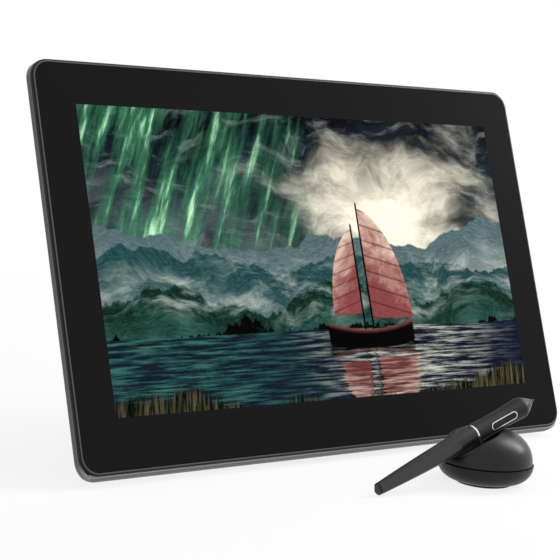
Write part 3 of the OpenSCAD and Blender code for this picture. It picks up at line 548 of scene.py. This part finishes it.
def dome_skin(settings):
    """Points of the pen stand's shell: a hollow turned dome with a sloped trough and an upright hole.

    The dome's section is a circle whose centre stands off the axis. The trough is the underside of a
    sloped bar: its height is that of the bar's axis, less the root of the squared radius less the squared
    sideways distance, over the cosine of the slope. The outer skin is the soft minimum of both heights,
    which rounds the trough's edges. The inner skin is the plain minimum of both, one wall further in. The
    rows run from the hole's floor over the dome to the seam and back up inside.
    """
    columns, outer_rows, inner_rows, hole_rows, bend_rows = 288, 120, 48, 5, 6
    angle = -once_round(columns)
    off = settings.shell_radius - settings.dome_round
    low = settings.stand_height - settings.dome_round
    wall, soft, edge = settings.shell_wall, settings.edge_round, 0.0008

    def trough(reach, radius):
        """Height of the underside of a sloped bar of this radius."""
        x, y = reach * np.cos(angle), reach * np.sin(angle)
        drop = np.sqrt(np.maximum(radius ** 2 - y ** 2, 0)) / np.cos(settings.trough_slope)
        return settings.trough_height + x * np.tan(settings.trough_slope) - drop

    def section(radius, inner_end, count):
        """Reach and level along the dome's circle, from the hole's wall to its widest place."""
        turn = np.linspace(np.arccos((inner_end - off) / radius), 0, count)[:, None]
        return off + radius * np.cos(turn), low + radius * np.sin(turn)

    outer, level = section(settings.dome_round, settings.hole_radius + edge, outer_rows)
    top = -soft * np.logaddexp(-level / soft, -trough(outer, settings.trough_radius) / soft)
    quarter = np.linspace(0, np.pi / 2, bend_rows)[:, None]
    rim = settings.hole_radius + edge * (1 - np.cos(quarter))
    rim_top = top[:1] - edge * (1 - np.sin(quarter))
    floor = settings.seam_height + wall
    hole_wall = floor + (rim_top[:1] - floor) * np.linspace(0, 1, hole_rows)[:-1, None]
    foot = settings.shell_radius - edge * (1 - np.cos(quarter))
    foot_low = settings.seam_height + edge * (1 - np.sin(quarter))
    inner, inner_level = section(settings.dome_round - wall, settings.hole_radius + wall, inner_rows)
    under = np.minimum(inner_level, trough(inner, settings.trough_radius + wall))
    seam = np.array([[settings.seam_height]])
    rows = [(settings.hole_radius, hole_wall), (rim[:-1], rim_top[:-1]), (outer, top), (foot, foot_low),
            (inner[-1:], seam), (inner[::-1], under[::-1]), (inner[:1], seam)]
    reach = np.concatenate([r + 0 * z + 0 * angle for r, z in rows])
    height = np.concatenate([z + 0 * r + 0 * angle for r, z in rows])
    x, y = STAND_AXIS[0] + reach * np.cos(angle), STAND_AXIS[1] + reach * np.sin(angle)
    return np.stack([x, y, height], -1)


# Picture on the screen


def skyline(across, up, floor, rise, pace, seed, teeth):
    """How far a point lies below a skyline: broad noise across gives the hills, fine noise the trees."""
    line = across.node("ShaderNodeCombineXYZ", None, {"X": across * pace, "Y": seed})
    hills = line.noise(1, 4, 0.55)
    trees = line.noise(14, 2, 0.7)
    return floor + (hills - 0.5) * rise + (trees - 0.5) * teeth - up


def sail_boat(scene, x, y, cloth, share):
    """A small boat laid over a picture: two sails with seams, two masts and a dark hull.

    x and y are measured from the middle of the waterline in boat heights. A sail is as wide as its reach
    times a power of what is left above a point, so its free edge bows out.
    """
    for mast, reach, foot, head in ((0.02, 0.5, 0.16, 1.0), (-0.06, -0.34, 0.2, 0.84)):
        out, height = (x - mast) / reach, (y - foot) / (head - foot)
        room = (1 - height).bigger(0.0) ** 0.62 * (0.82 + height * 0.5) - out
        inside = out.step(0.0, 0.03) * room.step(0.0, 0.03) * height.step(0.0, 0.02)
        seams = height.math("SINE", (height + out * 0.16) * 46).step(0.86, 1.0)
        worn = height * 0.7 + out * 0.4 + (cloth - 0.5) * 1.1
        dyed = worn.step(0.2, 1.0).between(tone(134, 40, 34), tone(214, 186, 164))
        dyed = (seams * 0.5).between(dyed, tone(70, 30, 30))
        scene = (inside * share).between(scene, dyed)
        pole = (0.012 - abs(x - mast)).step(0.0, 0.008) * y.step(0.0, 0.02)
        pole = pole * (head + 0.05 - y).step(0.0, 0.02)
        scene = (pole * share).between(scene, tone(34, 24, 22))
    rail = 0.1 + x * x * 0.36 - y
    keel = y + 0.05 - x * x * x * x * 1.6
    hull = rail.step(0.0, 0.012) * keel.step(0.0, 0.012) * (0.42 - abs(x)).step(0.0, 0.02)
    planks = rail.step(0.0, 0.05).between(tone(122, 66, 44), tone(36, 22, 22))
    return (hull * share).between(scene, planks)


def lake_valley(across, up):
    """A generic painted scene: green night light, clouds round a glow, wooded ridges and a boat on a lake.

    across and up run from -1 to 1 over the picture. Colours are laid over each other from the sky to the
    shore.
    """
    flat = across.node("ShaderNodeCombineXYZ", None, {"X": across * PICTURE_ASPECT, "Y": up})
    swirl = flat.noise(1.2, 3, 0.5, out="Color")
    bent = flat.node("ShaderNodeVectorMath", {"operation": "MULTIPLY_ADD"},
                     {0: swirl, 1: (0.7, 0.7, 0), 2: flat})
    cloud = bent.stretched((0.8, 1.6, 1)).noise(1.6, 8, 0.6)
    wisps = bent.stretched((0.7, 2.2, 1)).noise(3.4, 8, 0.66)
    brush = bent.stretched((1, 2.4, 1)).noise(24, 3, 0.7)
    glow_across, glow_up = 0.4, 0.3
    beside, above = across - glow_across, up - glow_up
    away = (beside * beside * 1.7 + above * above * 1.3) ** 0.5
    near = 1 - (away + (cloud - 0.5) * 1.7).step(0.02, 0.85)

    scene = (up * 0.4 + cloud).step(0.25, 0.95).between(tone(98, 112, 116), tone(30, 38, 46))
    scene = (cloud.step(0.44, 0.62) * 0.75).between(scene, tone(58, 64, 68))
    scene = near.between(scene, tone(236, 226, 200))
    scene = (wisps.step(0.5, 0.74) * 0.5).between(scene, tone(160, 166, 160))
    streaks = flat.laid((0, 0, -0.42)).stretched((5.5, 0.7, 1)).noise(1.6, 5, 0.62)
    beams = streaks.step(0.38, 0.66) * (0.1 - across + (cloud - 0.5) * 0.9).step(-0.02, 0.6)
    scene = (beams * 0.9).between(scene, tone(40, 132, 92))
    scene = (beams * streaks.step(0.54, 0.72)).between(scene, tone(176, 232, 176))

    # Ridges from far to near: floor, rise, pace, seed, teeth, colour of the crest and of the foot
    ridges = [(0.12, 0.95, 1.5, 3.1, 0.05, (84, 108, 112), (150, 160, 152)),
              (-0.06, 0.9, 2.0, 9.7, 0.07, (42, 82, 84), (108, 132, 126)),
              (-0.28, 0.8, 2.6, 17.3, 0.1, (18, 64, 56), (70, 112, 100)),
              (-0.5, 0.6, 3.3, 25.9, 0.14, (14, 40, 40), (40, 84, 74))]
    for floor, rise, pace, seed, teeth, crest, foot in ridges:
        below = skyline(across, up, floor, rise, pace, seed, teeth)
        haze = (below + (wisps - 0.5) * 0.5).step(0.04, 0.55)
        slope = haze.between(tone(*crest), tone(*foot))
        slope = ((brush - 0.42) * 0.8).between(slope, tone(*[c + 52 for c in crest]))
        scene = below.step(-0.008, 0.008).between(scene, slope)
    drift = (1 - abs(up + 0.22 + (cloud - 0.5) * 0.7).step(0.0, 0.3)) * wisps.step(0.44, 0.72)
    scene = (drift * 0.6).between(scene, tone(196, 202, 192))

    ripples = flat.stretched((1.0, 15, 1)).noise(3, 5, 0.6)
    glints = ripples.step(0.42, 0.66)
    shine = glints * (1 - abs(beside + (cloud - 0.5) * 0.4).step(0.05, 0.7))
    water = (across + (cloud - 0.5)).step(-0.6, 0.8).between(tone(30, 56, 66), tone(40, 48, 66))
    water = (glints * (0.1 - across).step(0.0, 0.7) * 0.7).between(water, tone(66, 128, 116))
    water = (shine * 0.85).between(water, tone(198, 200, 182))
    level, boat_height, boat_place = -0.62, 0.96, 0.2
    x, y = (across - boat_place) * (PICTURE_ASPECT / boat_height), (up - level) / boat_height
    water = sail_boat(water, x + (ripples - 0.5) * 0.22, y * -1.5, ripples, 0.62)
    shore_line = (level + 0.1 - up + (cloud - 0.5) * 0.05).step(-0.006, 0.006)
    scene = shore_line.between(scene, water)
    scene = sail_boat(scene, x, y, bent.noise(7, 5, 0.65), 1.0)
    below = skyline(across, up, -0.95, 0.42, 4.2, 31.3, 0.16) + (abs(across) - 0.5) * 0.24
    grass = flat.laid((0, 0, -0.12)).stretched((46, 3.2, 1)).noise(1, 4, 0.65)
    shore = ((grass - 0.4) * 1.6).between(tone(34, 52, 50), tone(150, 122, 84))
    scene = below.step(-0.02, 0.06).between(scene, shore)
    painted = scene.node("ShaderNodeMix", {"data_type": "RGBA", "blend_type": "OVERLAY"},
                         {0: 0.45, 6: scene, 7: brush * 0.6 + wisps * 0.4}, out=2)
    deep = painted.node("ShaderNodeGamma", None, {"Color": painted, "Gamma": 1.18})
    keen = deep.node("ShaderNodeBrightContrast", None, {"Color": deep, "Bright": 0.2, "Contrast": 0.45})
    return keen.node("ShaderNodeHueSaturation", None, {"Color": keen, "Saturation": 0.76, "Value": 1.06})


def inside_panel(x, y, width, height, corner):
    """Depth of a point inside a rounded rectangle, from how far it passes the centres of the corners."""
    past_x = abs(x) - (width / 2 - corner)
    past_y = abs(y) - (height / 2 - corner)
    out_x, out_y = past_x.bigger(0.0), past_y.bigger(0.0)
    reach = (out_x * out_x + out_y * out_y) ** 0.5
    return corner - reach - past_x.bigger(past_y).smaller(0.0)


def on_screen(place, settings):
    """Right, up and outward distances from the middle of the picture."""
    return place.laid((settings.lean, 0, 0), settings.picture_centre).parts()


# Operators


def turned_to(right, up, back, place):
    """The matrix of an object at a place whose own axes point these three ways."""
    turned = Matrix([list(row) for row in np.stack([right, up, back], 1)]).to_4x4()
    turned.translation = place
    return turned


class PENDISPLAY_OT_screen(Operator):
    """Etched cover glass with its lit picture, and the thin lip round it"""

    bl_idname = "pendisplay.screen"
    bl_label = "Screen"

    def execute(self, context):
        settings = context.scene.pendisplay_screen
        face_depth = 0.0004
        highlight_start, highlight_full, highlight_rise = 0.0011, 0.0013, 0.0003
        highlight_stop_start, highlight_stop_full = 0.008, 0.003

        def glass(place):
            x, y, z = on_screen(place, settings)
            across, up = x / (settings.picture_width / 2), y / (settings.picture_height / 2)
            lit = abs(across).less(1.0) * abs(up).less(1.0) * (-face_depth - z).less(0.0)
            etch = place.noise(5200, 1, 0.5)
            smear = place.noise(9, 3)
            return {"Emission_Color": lit.between((0, 0, 0, 1), lake_valley(across, up)),
                    "Base_Color": lit.between(rgba(settings.border_tone), (0.001, 0.001, 0.001, 1)),
                    "Roughness": 0.3 + (etch - 0.5) * 0.1 + (smear - 0.5) * 0.08,
                    "Normal": etch.relief(1.5e-6, 2e-4)}

        def lip(place):
            x, y, z = on_screen(place, settings)
            depth = inside_panel(x, y + settings.lip_drop, settings.lip_width, settings.lip_height,
                                 settings.lip_corner)
            # Painted highlight: a pale band along the lip's inner edge, faded out along the right side,
            # where the lamps at the right leave it unlit
            line = depth.step(highlight_start, highlight_full) * (face_depth + z).step(0.0, highlight_rise)
            line = line * (settings.lip_width / 2 - x).step(highlight_stop_full, highlight_stop_start)
            fine = place.noise(2600, 2, 0.6)
            colour = (fine * 0.3).between(rgba(settings.lip_tone), lighter(rgba(settings.lip_tone), 1.5))
            return {"Base_Color": line.between(colour, rgba(settings.lip_highlight_tone)),
                    "Roughness": 0.42 - line * 0.12 + (fine - 0.5) * 0.1,
                    "Normal": fine.relief(1.2e-5, 2.5e-4)}

        dress("cover_glass", finish("etched_glass", glass, Emission_Strength=1.0,
                                    Specular_IOR_Level=0.008))
        dress("front_frame", finish("lip_plastic", lip, Specular_IOR_Level=0.2))
        return {"FINISHED"}


class PENDISPLAY_OT_panel_stack(Operator):
    """Layers behind the glass: tape, cell, films, light guide, lamps, tray, sensor board and shield"""

    bl_idname = "pendisplay.panel_stack"
    bl_label = "Panel Stack"

    def execute(self, context):
        lean = (context.scene.pendisplay_screen.lean, 0, 0)
        board = circuit_board("board_mask", lean)
        dress("glass_adhesive", soft_rubber("black_tape", tone(26, 26, 27), rough=0.7))
        dress("lcd_panel", optic_film("cell_glass", tone(58, 78, 80), lean))
        dress("diffuser_sheets", optic_film("diffuser_film", tone(236, 236, 232), lean))
        dress("light_guide", dotted_guide("guide_acrylic", tone(224, 234, 236), lean))
        dress("led_strip", moulded("lamp_strip", tone(240, 236, 210),
                                   rough=0.4, grain=1500, depth=1e-5, edge=1e-4))
        dress("reflector_sheet", optic_film("mirror_film", tone(244, 244, 242), lean))
        dress("backlight_tray", sheet_metal("tray_sheet", tone(196, 198, 200), lean))
        dress("shield_plate", sheet_metal("shield_sheet", tone(186, 188, 192), lean))
        for node in ("digitizer_board", "main_board", "key_board"):
            dress(node, board)
        return {"FINISHED"}


class PENDISPLAY_OT_rear_cover(Operator):
    """Rear cover with its screws, sockets, inserts and pads"""

    bl_idname = "pendisplay.rear_cover"
    bl_label = "Rear Cover"

    def execute(self, context):
        settings = context.scene.pendisplay_screen
        stand = context.scene.pendisplay_stand
        lean = (settings.lean, 0, 0)
        low_edge, front_edge, rear_edge = settings.lip_height / 2, settings.wall_front, settings.wall_rear
        chin_start, chin_full = 0.012, 0.001
        front_highlight_full, front_highlight_end = 3e-4, 1.1e-3
        rear_highlight_start, rear_highlight_full, rear_highlight_end = 2.2e-3, 1e-4, 6e-4

        def cover(place):
            y, z = on_screen(place, settings)[1:]
            behind = 0 - z
            # Painted light: the strip along the lower edge takes the paler chin tone, as lit by the floor
            # below, and the rest of the cover takes the darker, shaded tone
            chin = (0 - y - settings.lip_drop).step(low_edge - chin_start, low_edge - chin_full)
            # Painted highlight: bands along the front and rear edges of the side wall
            front = 1 - behind.step(front_edge + front_highlight_full, front_edge + front_highlight_end)
            rear = behind.step(rear_edge - rear_highlight_start, rear_edge)
            rear = rear * (1 - behind.step(rear_edge + rear_highlight_full, rear_edge + rear_highlight_end))
            cloud, fine = place.noise(38, 3), place.noise(1500, 2, 0.6)
            flow = cloud * 0.6 + fine * 0.4
            side, low = rgba(settings.cover_tone), rgba(settings.lit_chin_tone)
            plain = chin.between(mottled(flow, side, 0.84, 1.14), mottled(flow, low, 0.84, 1.14))
            # The painted edge highlight is paler on the chin than on the side wall
            bright = chin.between(lighter(side, settings.edge_highlight_share * 0.6),
                                  lighter(low, settings.edge_highlight_share))
            return {"Base_Color": front.bigger(rear * 0.8).between(plain, bright),
                    "Roughness": 0.4 + (fine - 0.5) * 0.14 + (cloud - 0.5) * 0.1,
                    "Normal": fine.relief(3e-5, 4e-4)}

        dress("back_cover", finish("cover_plastic", cover))
        dress("housing_screws", drawn_steel("blackened_screw", tone(54, 54, 56),
                                            along=(900, 900, 60), rough=0.42))
        dress("board_screws", drawn_steel("board_screw", rgba(stand.pin_tone), along=(900, 900, 60)))
        dress("threaded_inserts", drawn_steel("insert_brass", tone(206, 164, 88),
                                              along=(1500, 80, 80), rough=0.34))
        sockets = sheet_metal("socket_sheet", tone(190, 190, 192), lean)
        for node in ("hdmi_port", "usb_port"):
            dress(node, sockets)
        dress("dc_jack", moulded("jack_plastic", tone(30, 30, 31),
                                 rough=0.5, grain=1800, depth=2e-5, edge=1.5e-4))
        dress("back_pads", soft_rubber("pad_rubber", rgba(stand.rubber_tone)))
        return {"FINISHED"}


class PENDISPLAY_OT_edge_keys(Operator):
    """Five keys in the right edge"""

    bl_idname = "pendisplay.edge_keys"
    bl_label = "Edge Keys"

    def execute(self, context):
        settings = context.scene.pendisplay_screen
        caps = moulded("key_plastic", rgba(settings.key_tone),
                       rough=0.42, grain=2400, depth=1.5e-5, edge=3e-4)
        for node in ("power_key", "menu_key", "plus_key", "minus_key", "input_key"):
            dress(node, caps)
        return {"FINISHED"}


class PENDISPLAY_OT_easel_stand(Operator):
    """Bracket, prop, base tray, pins and feet of the easel stand"""

    bl_idname = "pendisplay.easel_stand"
    bl_label = "Easel Stand"

    def execute(self, context):
        stand = context.scene.pendisplay_stand
        coat = powder_coated("black_powder_coat", rgba(stand.coat_tone))
        for node in ("stand_bracket", "prop_arm", "stand_base"):
            dress(node, coat)
        pins = drawn_steel("ground_pin", rgba(stand.pin_tone), along=(30, 1200, 1200), rough=0.24)
        for node in ("prop_pivot_pin", "prop_foot_pin", "tilt_hinge_pin", "bracket_screws"):
            dress(node, pins)
        dress("base_feet", soft_rubber("foot_rubber", rgba(stand.rubber_tone), rough=0.85))
        return {"FINISHED"}


class PENDISPLAY_OT_pen_stand(Operator):
    """Domed pen stand with its base, weight, nib tray and spare nibs"""

    bl_idname = "pendisplay.pen_stand"
    bl_label = "Pen Stand"

    def execute(self, context):
        stand = context.scene.pendisplay_stand
        shell_plastic = moulded("shell_plastic", rgba(stand.shell_tone),
                                rough=0.36, grain=1700, depth=2e-5, edge=6e-4, shine=0.3, sheen=0.15)
        dress("pen_stand_shell", shell_plastic)
        shell = sweep("pen_stand_shell_skin", dome_skin(stand), shell_plastic,
                      "pen_stand_shell")
        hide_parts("pen_stand_shell")
        dress("pen_stand_base", moulded("bowl_plastic", rgba(stand.bowl_tone),
                                        rough=0.4, grain=1700, depth=2.5e-5, edge=4e-4, shine=0.26))
        dress("pen_stand_weight", drawn_steel("weight_steel", tone(150, 150, 152),
                                              along=(700, 700, 60), rough=0.42))
        dress("nib_tray", moulded("tray_plastic", tone(74, 74, 76), rough=0.55))
        dress("spare_nibs", moulded("spare_nib", tone(38, 38, 39),
                                    rough=0.4, grain=2600, depth=1e-5, edge=1e-4))
        dress("pen_stand_foot", soft_rubber("stand_foot_rubber", rgba(stand.rubber_tone), rough=0.85))
        return {"FINISHED"}


class PENDISPLAY_OT_pen(Operator):
    """Pen with its barrel, bright ring, soft grip, key frame, keys, nose and nib"""

    bl_idname = "pendisplay.pen"
    bl_label = "Pen"

    def execute(self, context):
        settings = context.scene.pendisplay_pen
        turn = (0, -settings.rise, 0)

        def satin(place):
            flat = place.node("ShaderNodeAttribute", {"attribute_name": "share"}, out="Fac")
            cloud, fine = place.noise(38, 3), place.noise(2100, 2, 0.6)
            # Painted light: the flats take the paler flat tone, a lit copy of the barrel's colour
            colour = flat.between(rgba(settings.barrel_tone), rgba(settings.flat_lit_tone))
            return {"Base_Color": (cloud * 0.3 + fine * 0.2).between(colour, (0, 0, 0, 1)),
                    "Roughness": 0.3 + flat * 0.12 + (fine - 0.5) * 0.12,
                    "Normal": fine.relief(2e-5, 3e-4)}

        barrel_plastic = finish("barrel_plastic", satin, Specular_IOR_Level=0.4, Sheen_Weight=0.2,
                                Sheen_Roughness=SHEEN_ROUGHNESS)
        dress("pen_barrel", barrel_plastic)
        points, flats = barrel_skin(settings)
        barrel = sweep("pen_barrel_skin", points, barrel_plastic, "pen", flats)
        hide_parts("pen_barrel")
        dress("pen_tail_cap", moulded("cap_plastic", tone(13, 13, 14),
                                      rough=0.2, grain=2600, depth=5e-6, edge=5e-4, shine=0.3))
        dress("pen_grip", soft_rubber("grip_rubber", rgba(settings.grip_tone),
                                      rough=0.55, grain=2800, shine=0.25))
        bright = plated("bright_plating", rgba(settings.ring_tone))
        for node in ("pen_ring", "pen_key_frame"):
            dress(node, bright)
        keys = moulded("pen_key_plastic", tone(14, 14, 15),
                       rough=0.4, grain=2600, depth=1e-5, edge=4e-4, shine=0.22)
        for node in ("pen_front_key", "pen_rear_key"):
            dress(node, keys)
        dress("pen_nose", moulded("nose_plastic", tone(26, 26, 27), rough=0.36, grain=2200,
                                  depth=1.5e-5, edge=3e-4, shine=0.35, sheen=0.25))
        dress("pen_core", moulded("core_plastic", tone(96, 96, 97), rough=0.5))
        dress("pen_circuit", circuit_board("pen_board_mask", turn))
        dress("pressure_sensor", moulded("sensor_plastic", tone(150, 150, 150), rough=0.4))
        dress("pen_coil", wound_copper("coil_copper", turn))
        dress("pen_nib", moulded("nib_plastic", tone(34, 34, 35),
                                 rough=0.35, grain=2600, depth=1e-5, edge=1e-4))
        return {"FINISHED"}


class PENDISPLAY_OT_stage(Operator):
    """Camera, soft lamps, white room and pale floor"""

    bl_idname = "pendisplay.stage"
    bl_label = "Stage"

    def execute(self, context):
        scene = context.scene
        settings = scene.pendisplay_stage
        scene.view_settings.view_transform = "Standard"
        self.camera(scene, settings)
        self.room(scene, settings)
        self.lamps(scene, settings)
        self.floor(scene, settings)
        return {"FINISHED"}

    def camera(self, scene, settings):
        """The photograph's viewpoint: heading, drop and roll give the camera's three directions."""
        turn, drop, roll = settings.camera_turn, settings.camera_drop, settings.camera_roll
        sensor, near, far = 36, 0.05, 60
        flat = math.cos(drop)
        ahead = np.array([math.sin(turn) * flat, math.cos(turn) * flat, -math.sin(drop)])
        level = np.array([math.cos(turn), -math.sin(turn), 0.0])
        above = np.cross(level, ahead)
        right = level * math.cos(roll) + above * math.sin(roll)
        up = above * math.cos(roll) - level * math.sin(roll)
        data = bpy.data.cameras.new("photo_camera")
        data.sensor_width = sensor
        data.lens = settings.lens
        data.clip_start, data.clip_end = near, far
        camera = bpy.data.objects.new("photo_camera", data)
        camera.matrix_world = turned_to(right, up, -ahead, settings.camera_place)
        scene.collection.objects.link(camera)
        scene.camera = camera

    def room(self, scene, settings):
        """A white room: full white where it is seen or mirrored, and a plain level of light elsewhere."""
        world = bpy.data.worlds.new("white_room")
        world.use_nodes = True
        tree = world.node_tree
        strength = Wire(tree).seen() * (1.0 - settings.sky_level) + settings.sky_level
        tree.links.new(strength.socket, tree.nodes["Background"].inputs["Strength"])
        tree.nodes["Background"].inputs["Color"].default_value = (1, 1, 1, 1)
        scene.world = world

    def lamp(self, scene, name, place, size, power, aim):
        """A round soft lamp that looks at a point."""
        data = bpy.data.lights.new(name, "AREA")
        data.shape = "DISK"
        data.size = size
        data.energy = power
        back = np.array(place) - np.array(aim)
        back = back / np.linalg.norm(back)
        side = np.cross([0.0, 0.0, 1.0], back)
        side = side / np.linalg.norm(side)
        lamp = bpy.data.objects.new(name, data)
        lamp.matrix_world = turned_to(side, np.cross(back, side), back, place)
        scene.collection.objects.link(lamp)

    def lamps(self, scene, settings):
        """One large soft lamp high at the right, and a smaller one low beside it."""
        aim = settings.lamp_aim
        self.lamp(scene, "key_lamp", settings.key_place, settings.key_size, settings.key_power, aim)
        self.lamp(scene, "side_lamp", settings.side_place, settings.side_size, settings.side_power, aim)

    def floor(self, scene, settings):
        """A pale disc: it keeps the shadow near the object and fades to full white with distance."""
        rings, spokes, reach, crowding = 24, 96, 5.0, 1.5
        shadow_share, full_share, shadow_end, fade_end = 0.82, 1.0, 0.45, 1.5
        radius = reach * np.linspace(0.0, 1.0, rings)[1:, None] ** crowding
        angle = once_round(spokes)
        grid = np.stack([radius * np.cos(angle), radius * np.sin(angle), 0 * radius * angle], -1)
        count = (rings - 1) * spokes
        index = np.arange(count).reshape(rings - 1, spokes)
        a, b = index[:-1], index[1:]
        quads = np.stack([a, b, np.roll(b, -1, 1), np.roll(a, -1, 1)], -1)
        middle = np.stack([np.full(spokes, count), index[0], np.roll(index[0], -1)], -1)
        mesh = bpy.data.meshes.new("floor")
        mesh.from_pydata(grid.reshape(-1, 3).tolist() + [[0, 0, 0]], [],
                         quads.reshape(-1, 4).tolist() + middle.tolist())
        floor = bpy.data.objects.new("floor", mesh)
        scene.collection.objects.link(floor)
        made = bpy.data.materials.new("pale_floor")
        made.use_nodes = True
        tree = made.node_tree
        tree.nodes.clear()
        start = Wire(tree)
        place = start.node("ShaderNodeTexCoord", out="Object")
        away = start.node("ShaderNodeVectorMath", {"operation": "LENGTH"}, {0: place}, out="Value")
        fade = away.step(shadow_end, fade_end)
        share = start.seen() * (shadow_share + (full_share - shadow_share) * fade)
        matt = start.node("ShaderNodeBsdfDiffuse", None, {"Color": rgba(settings.floor_tone)})
        glow = start.node("ShaderNodeEmission", None, {"Color": (1, 1, 1, 1), "Strength": 1.0})
        both = start.node("ShaderNodeMixShader", None, {0: share, 1: matt, 2: glow})
        end = tree.nodes.new("ShaderNodeOutputMaterial")
        tree.links.new(both.socket, end.inputs["Surface"])
        mesh.materials.append(made)


# Panel and registration


class PENDISPLAY_PT_sidebar(Panel):
    """Lists the pieces of the pen display"""

    bl_idname = "PENDISPLAY_PT_sidebar"
    bl_label = "Pen Display"
    bl_space_type = "VIEW_3D"
    bl_region_type = "UI"
    bl_category = "Pen Display"

    def draw(self, context):
        for operator in OPERATORS:
            self.layout.operator(operator.bl_idname)
        for group in GROUPS:
            box = self.layout.box()
            for key in GROUPS[group].__annotations__:
                box.prop(getattr(context.scene, group), key)


GROUPS = {
    "pendisplay_screen": ScreenSettings,
    "pendisplay_stand": StandSettings,
    "pendisplay_pen": PenSettings,
    "pendisplay_stage": StageSettings,
}
OPERATORS = [
    PENDISPLAY_OT_stage,
    PENDISPLAY_OT_screen,
    PENDISPLAY_OT_panel_stack,
    PENDISPLAY_OT_rear_cover,
    PENDISPLAY_OT_edge_keys,
    PENDISPLAY_OT_easel_stand,
    PENDISPLAY_OT_pen_stand,
    PENDISPLAY_OT_pen,
]


def register():
    """Adds the settings, operators and panel to Blender."""
    for made in list(GROUPS.values()) + OPERATORS + [PENDISPLAY_PT_sidebar]:
        bpy.utils.register_class(made)
    for name, group in GROUPS.items():
        setattr(bpy.types.Scene, name, PointerProperty(type=group))


def unregister():
    """Takes them out again."""
    for name in GROUPS:
        delattr(bpy.types.Scene, name)
    for made in reversed(list(GROUPS.values()) + OPERATORS + [PENDISPLAY_PT_sidebar]):
        bpy.utils.unregister_class(made)


def main():
    """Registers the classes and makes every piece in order."""
    register()
    for operator in OPERATORS:
        family, action = operator.bl_idname.split(".")
        getattr(getattr(bpy.ops, family), action)()


if __name__ == "__main__":
    main()
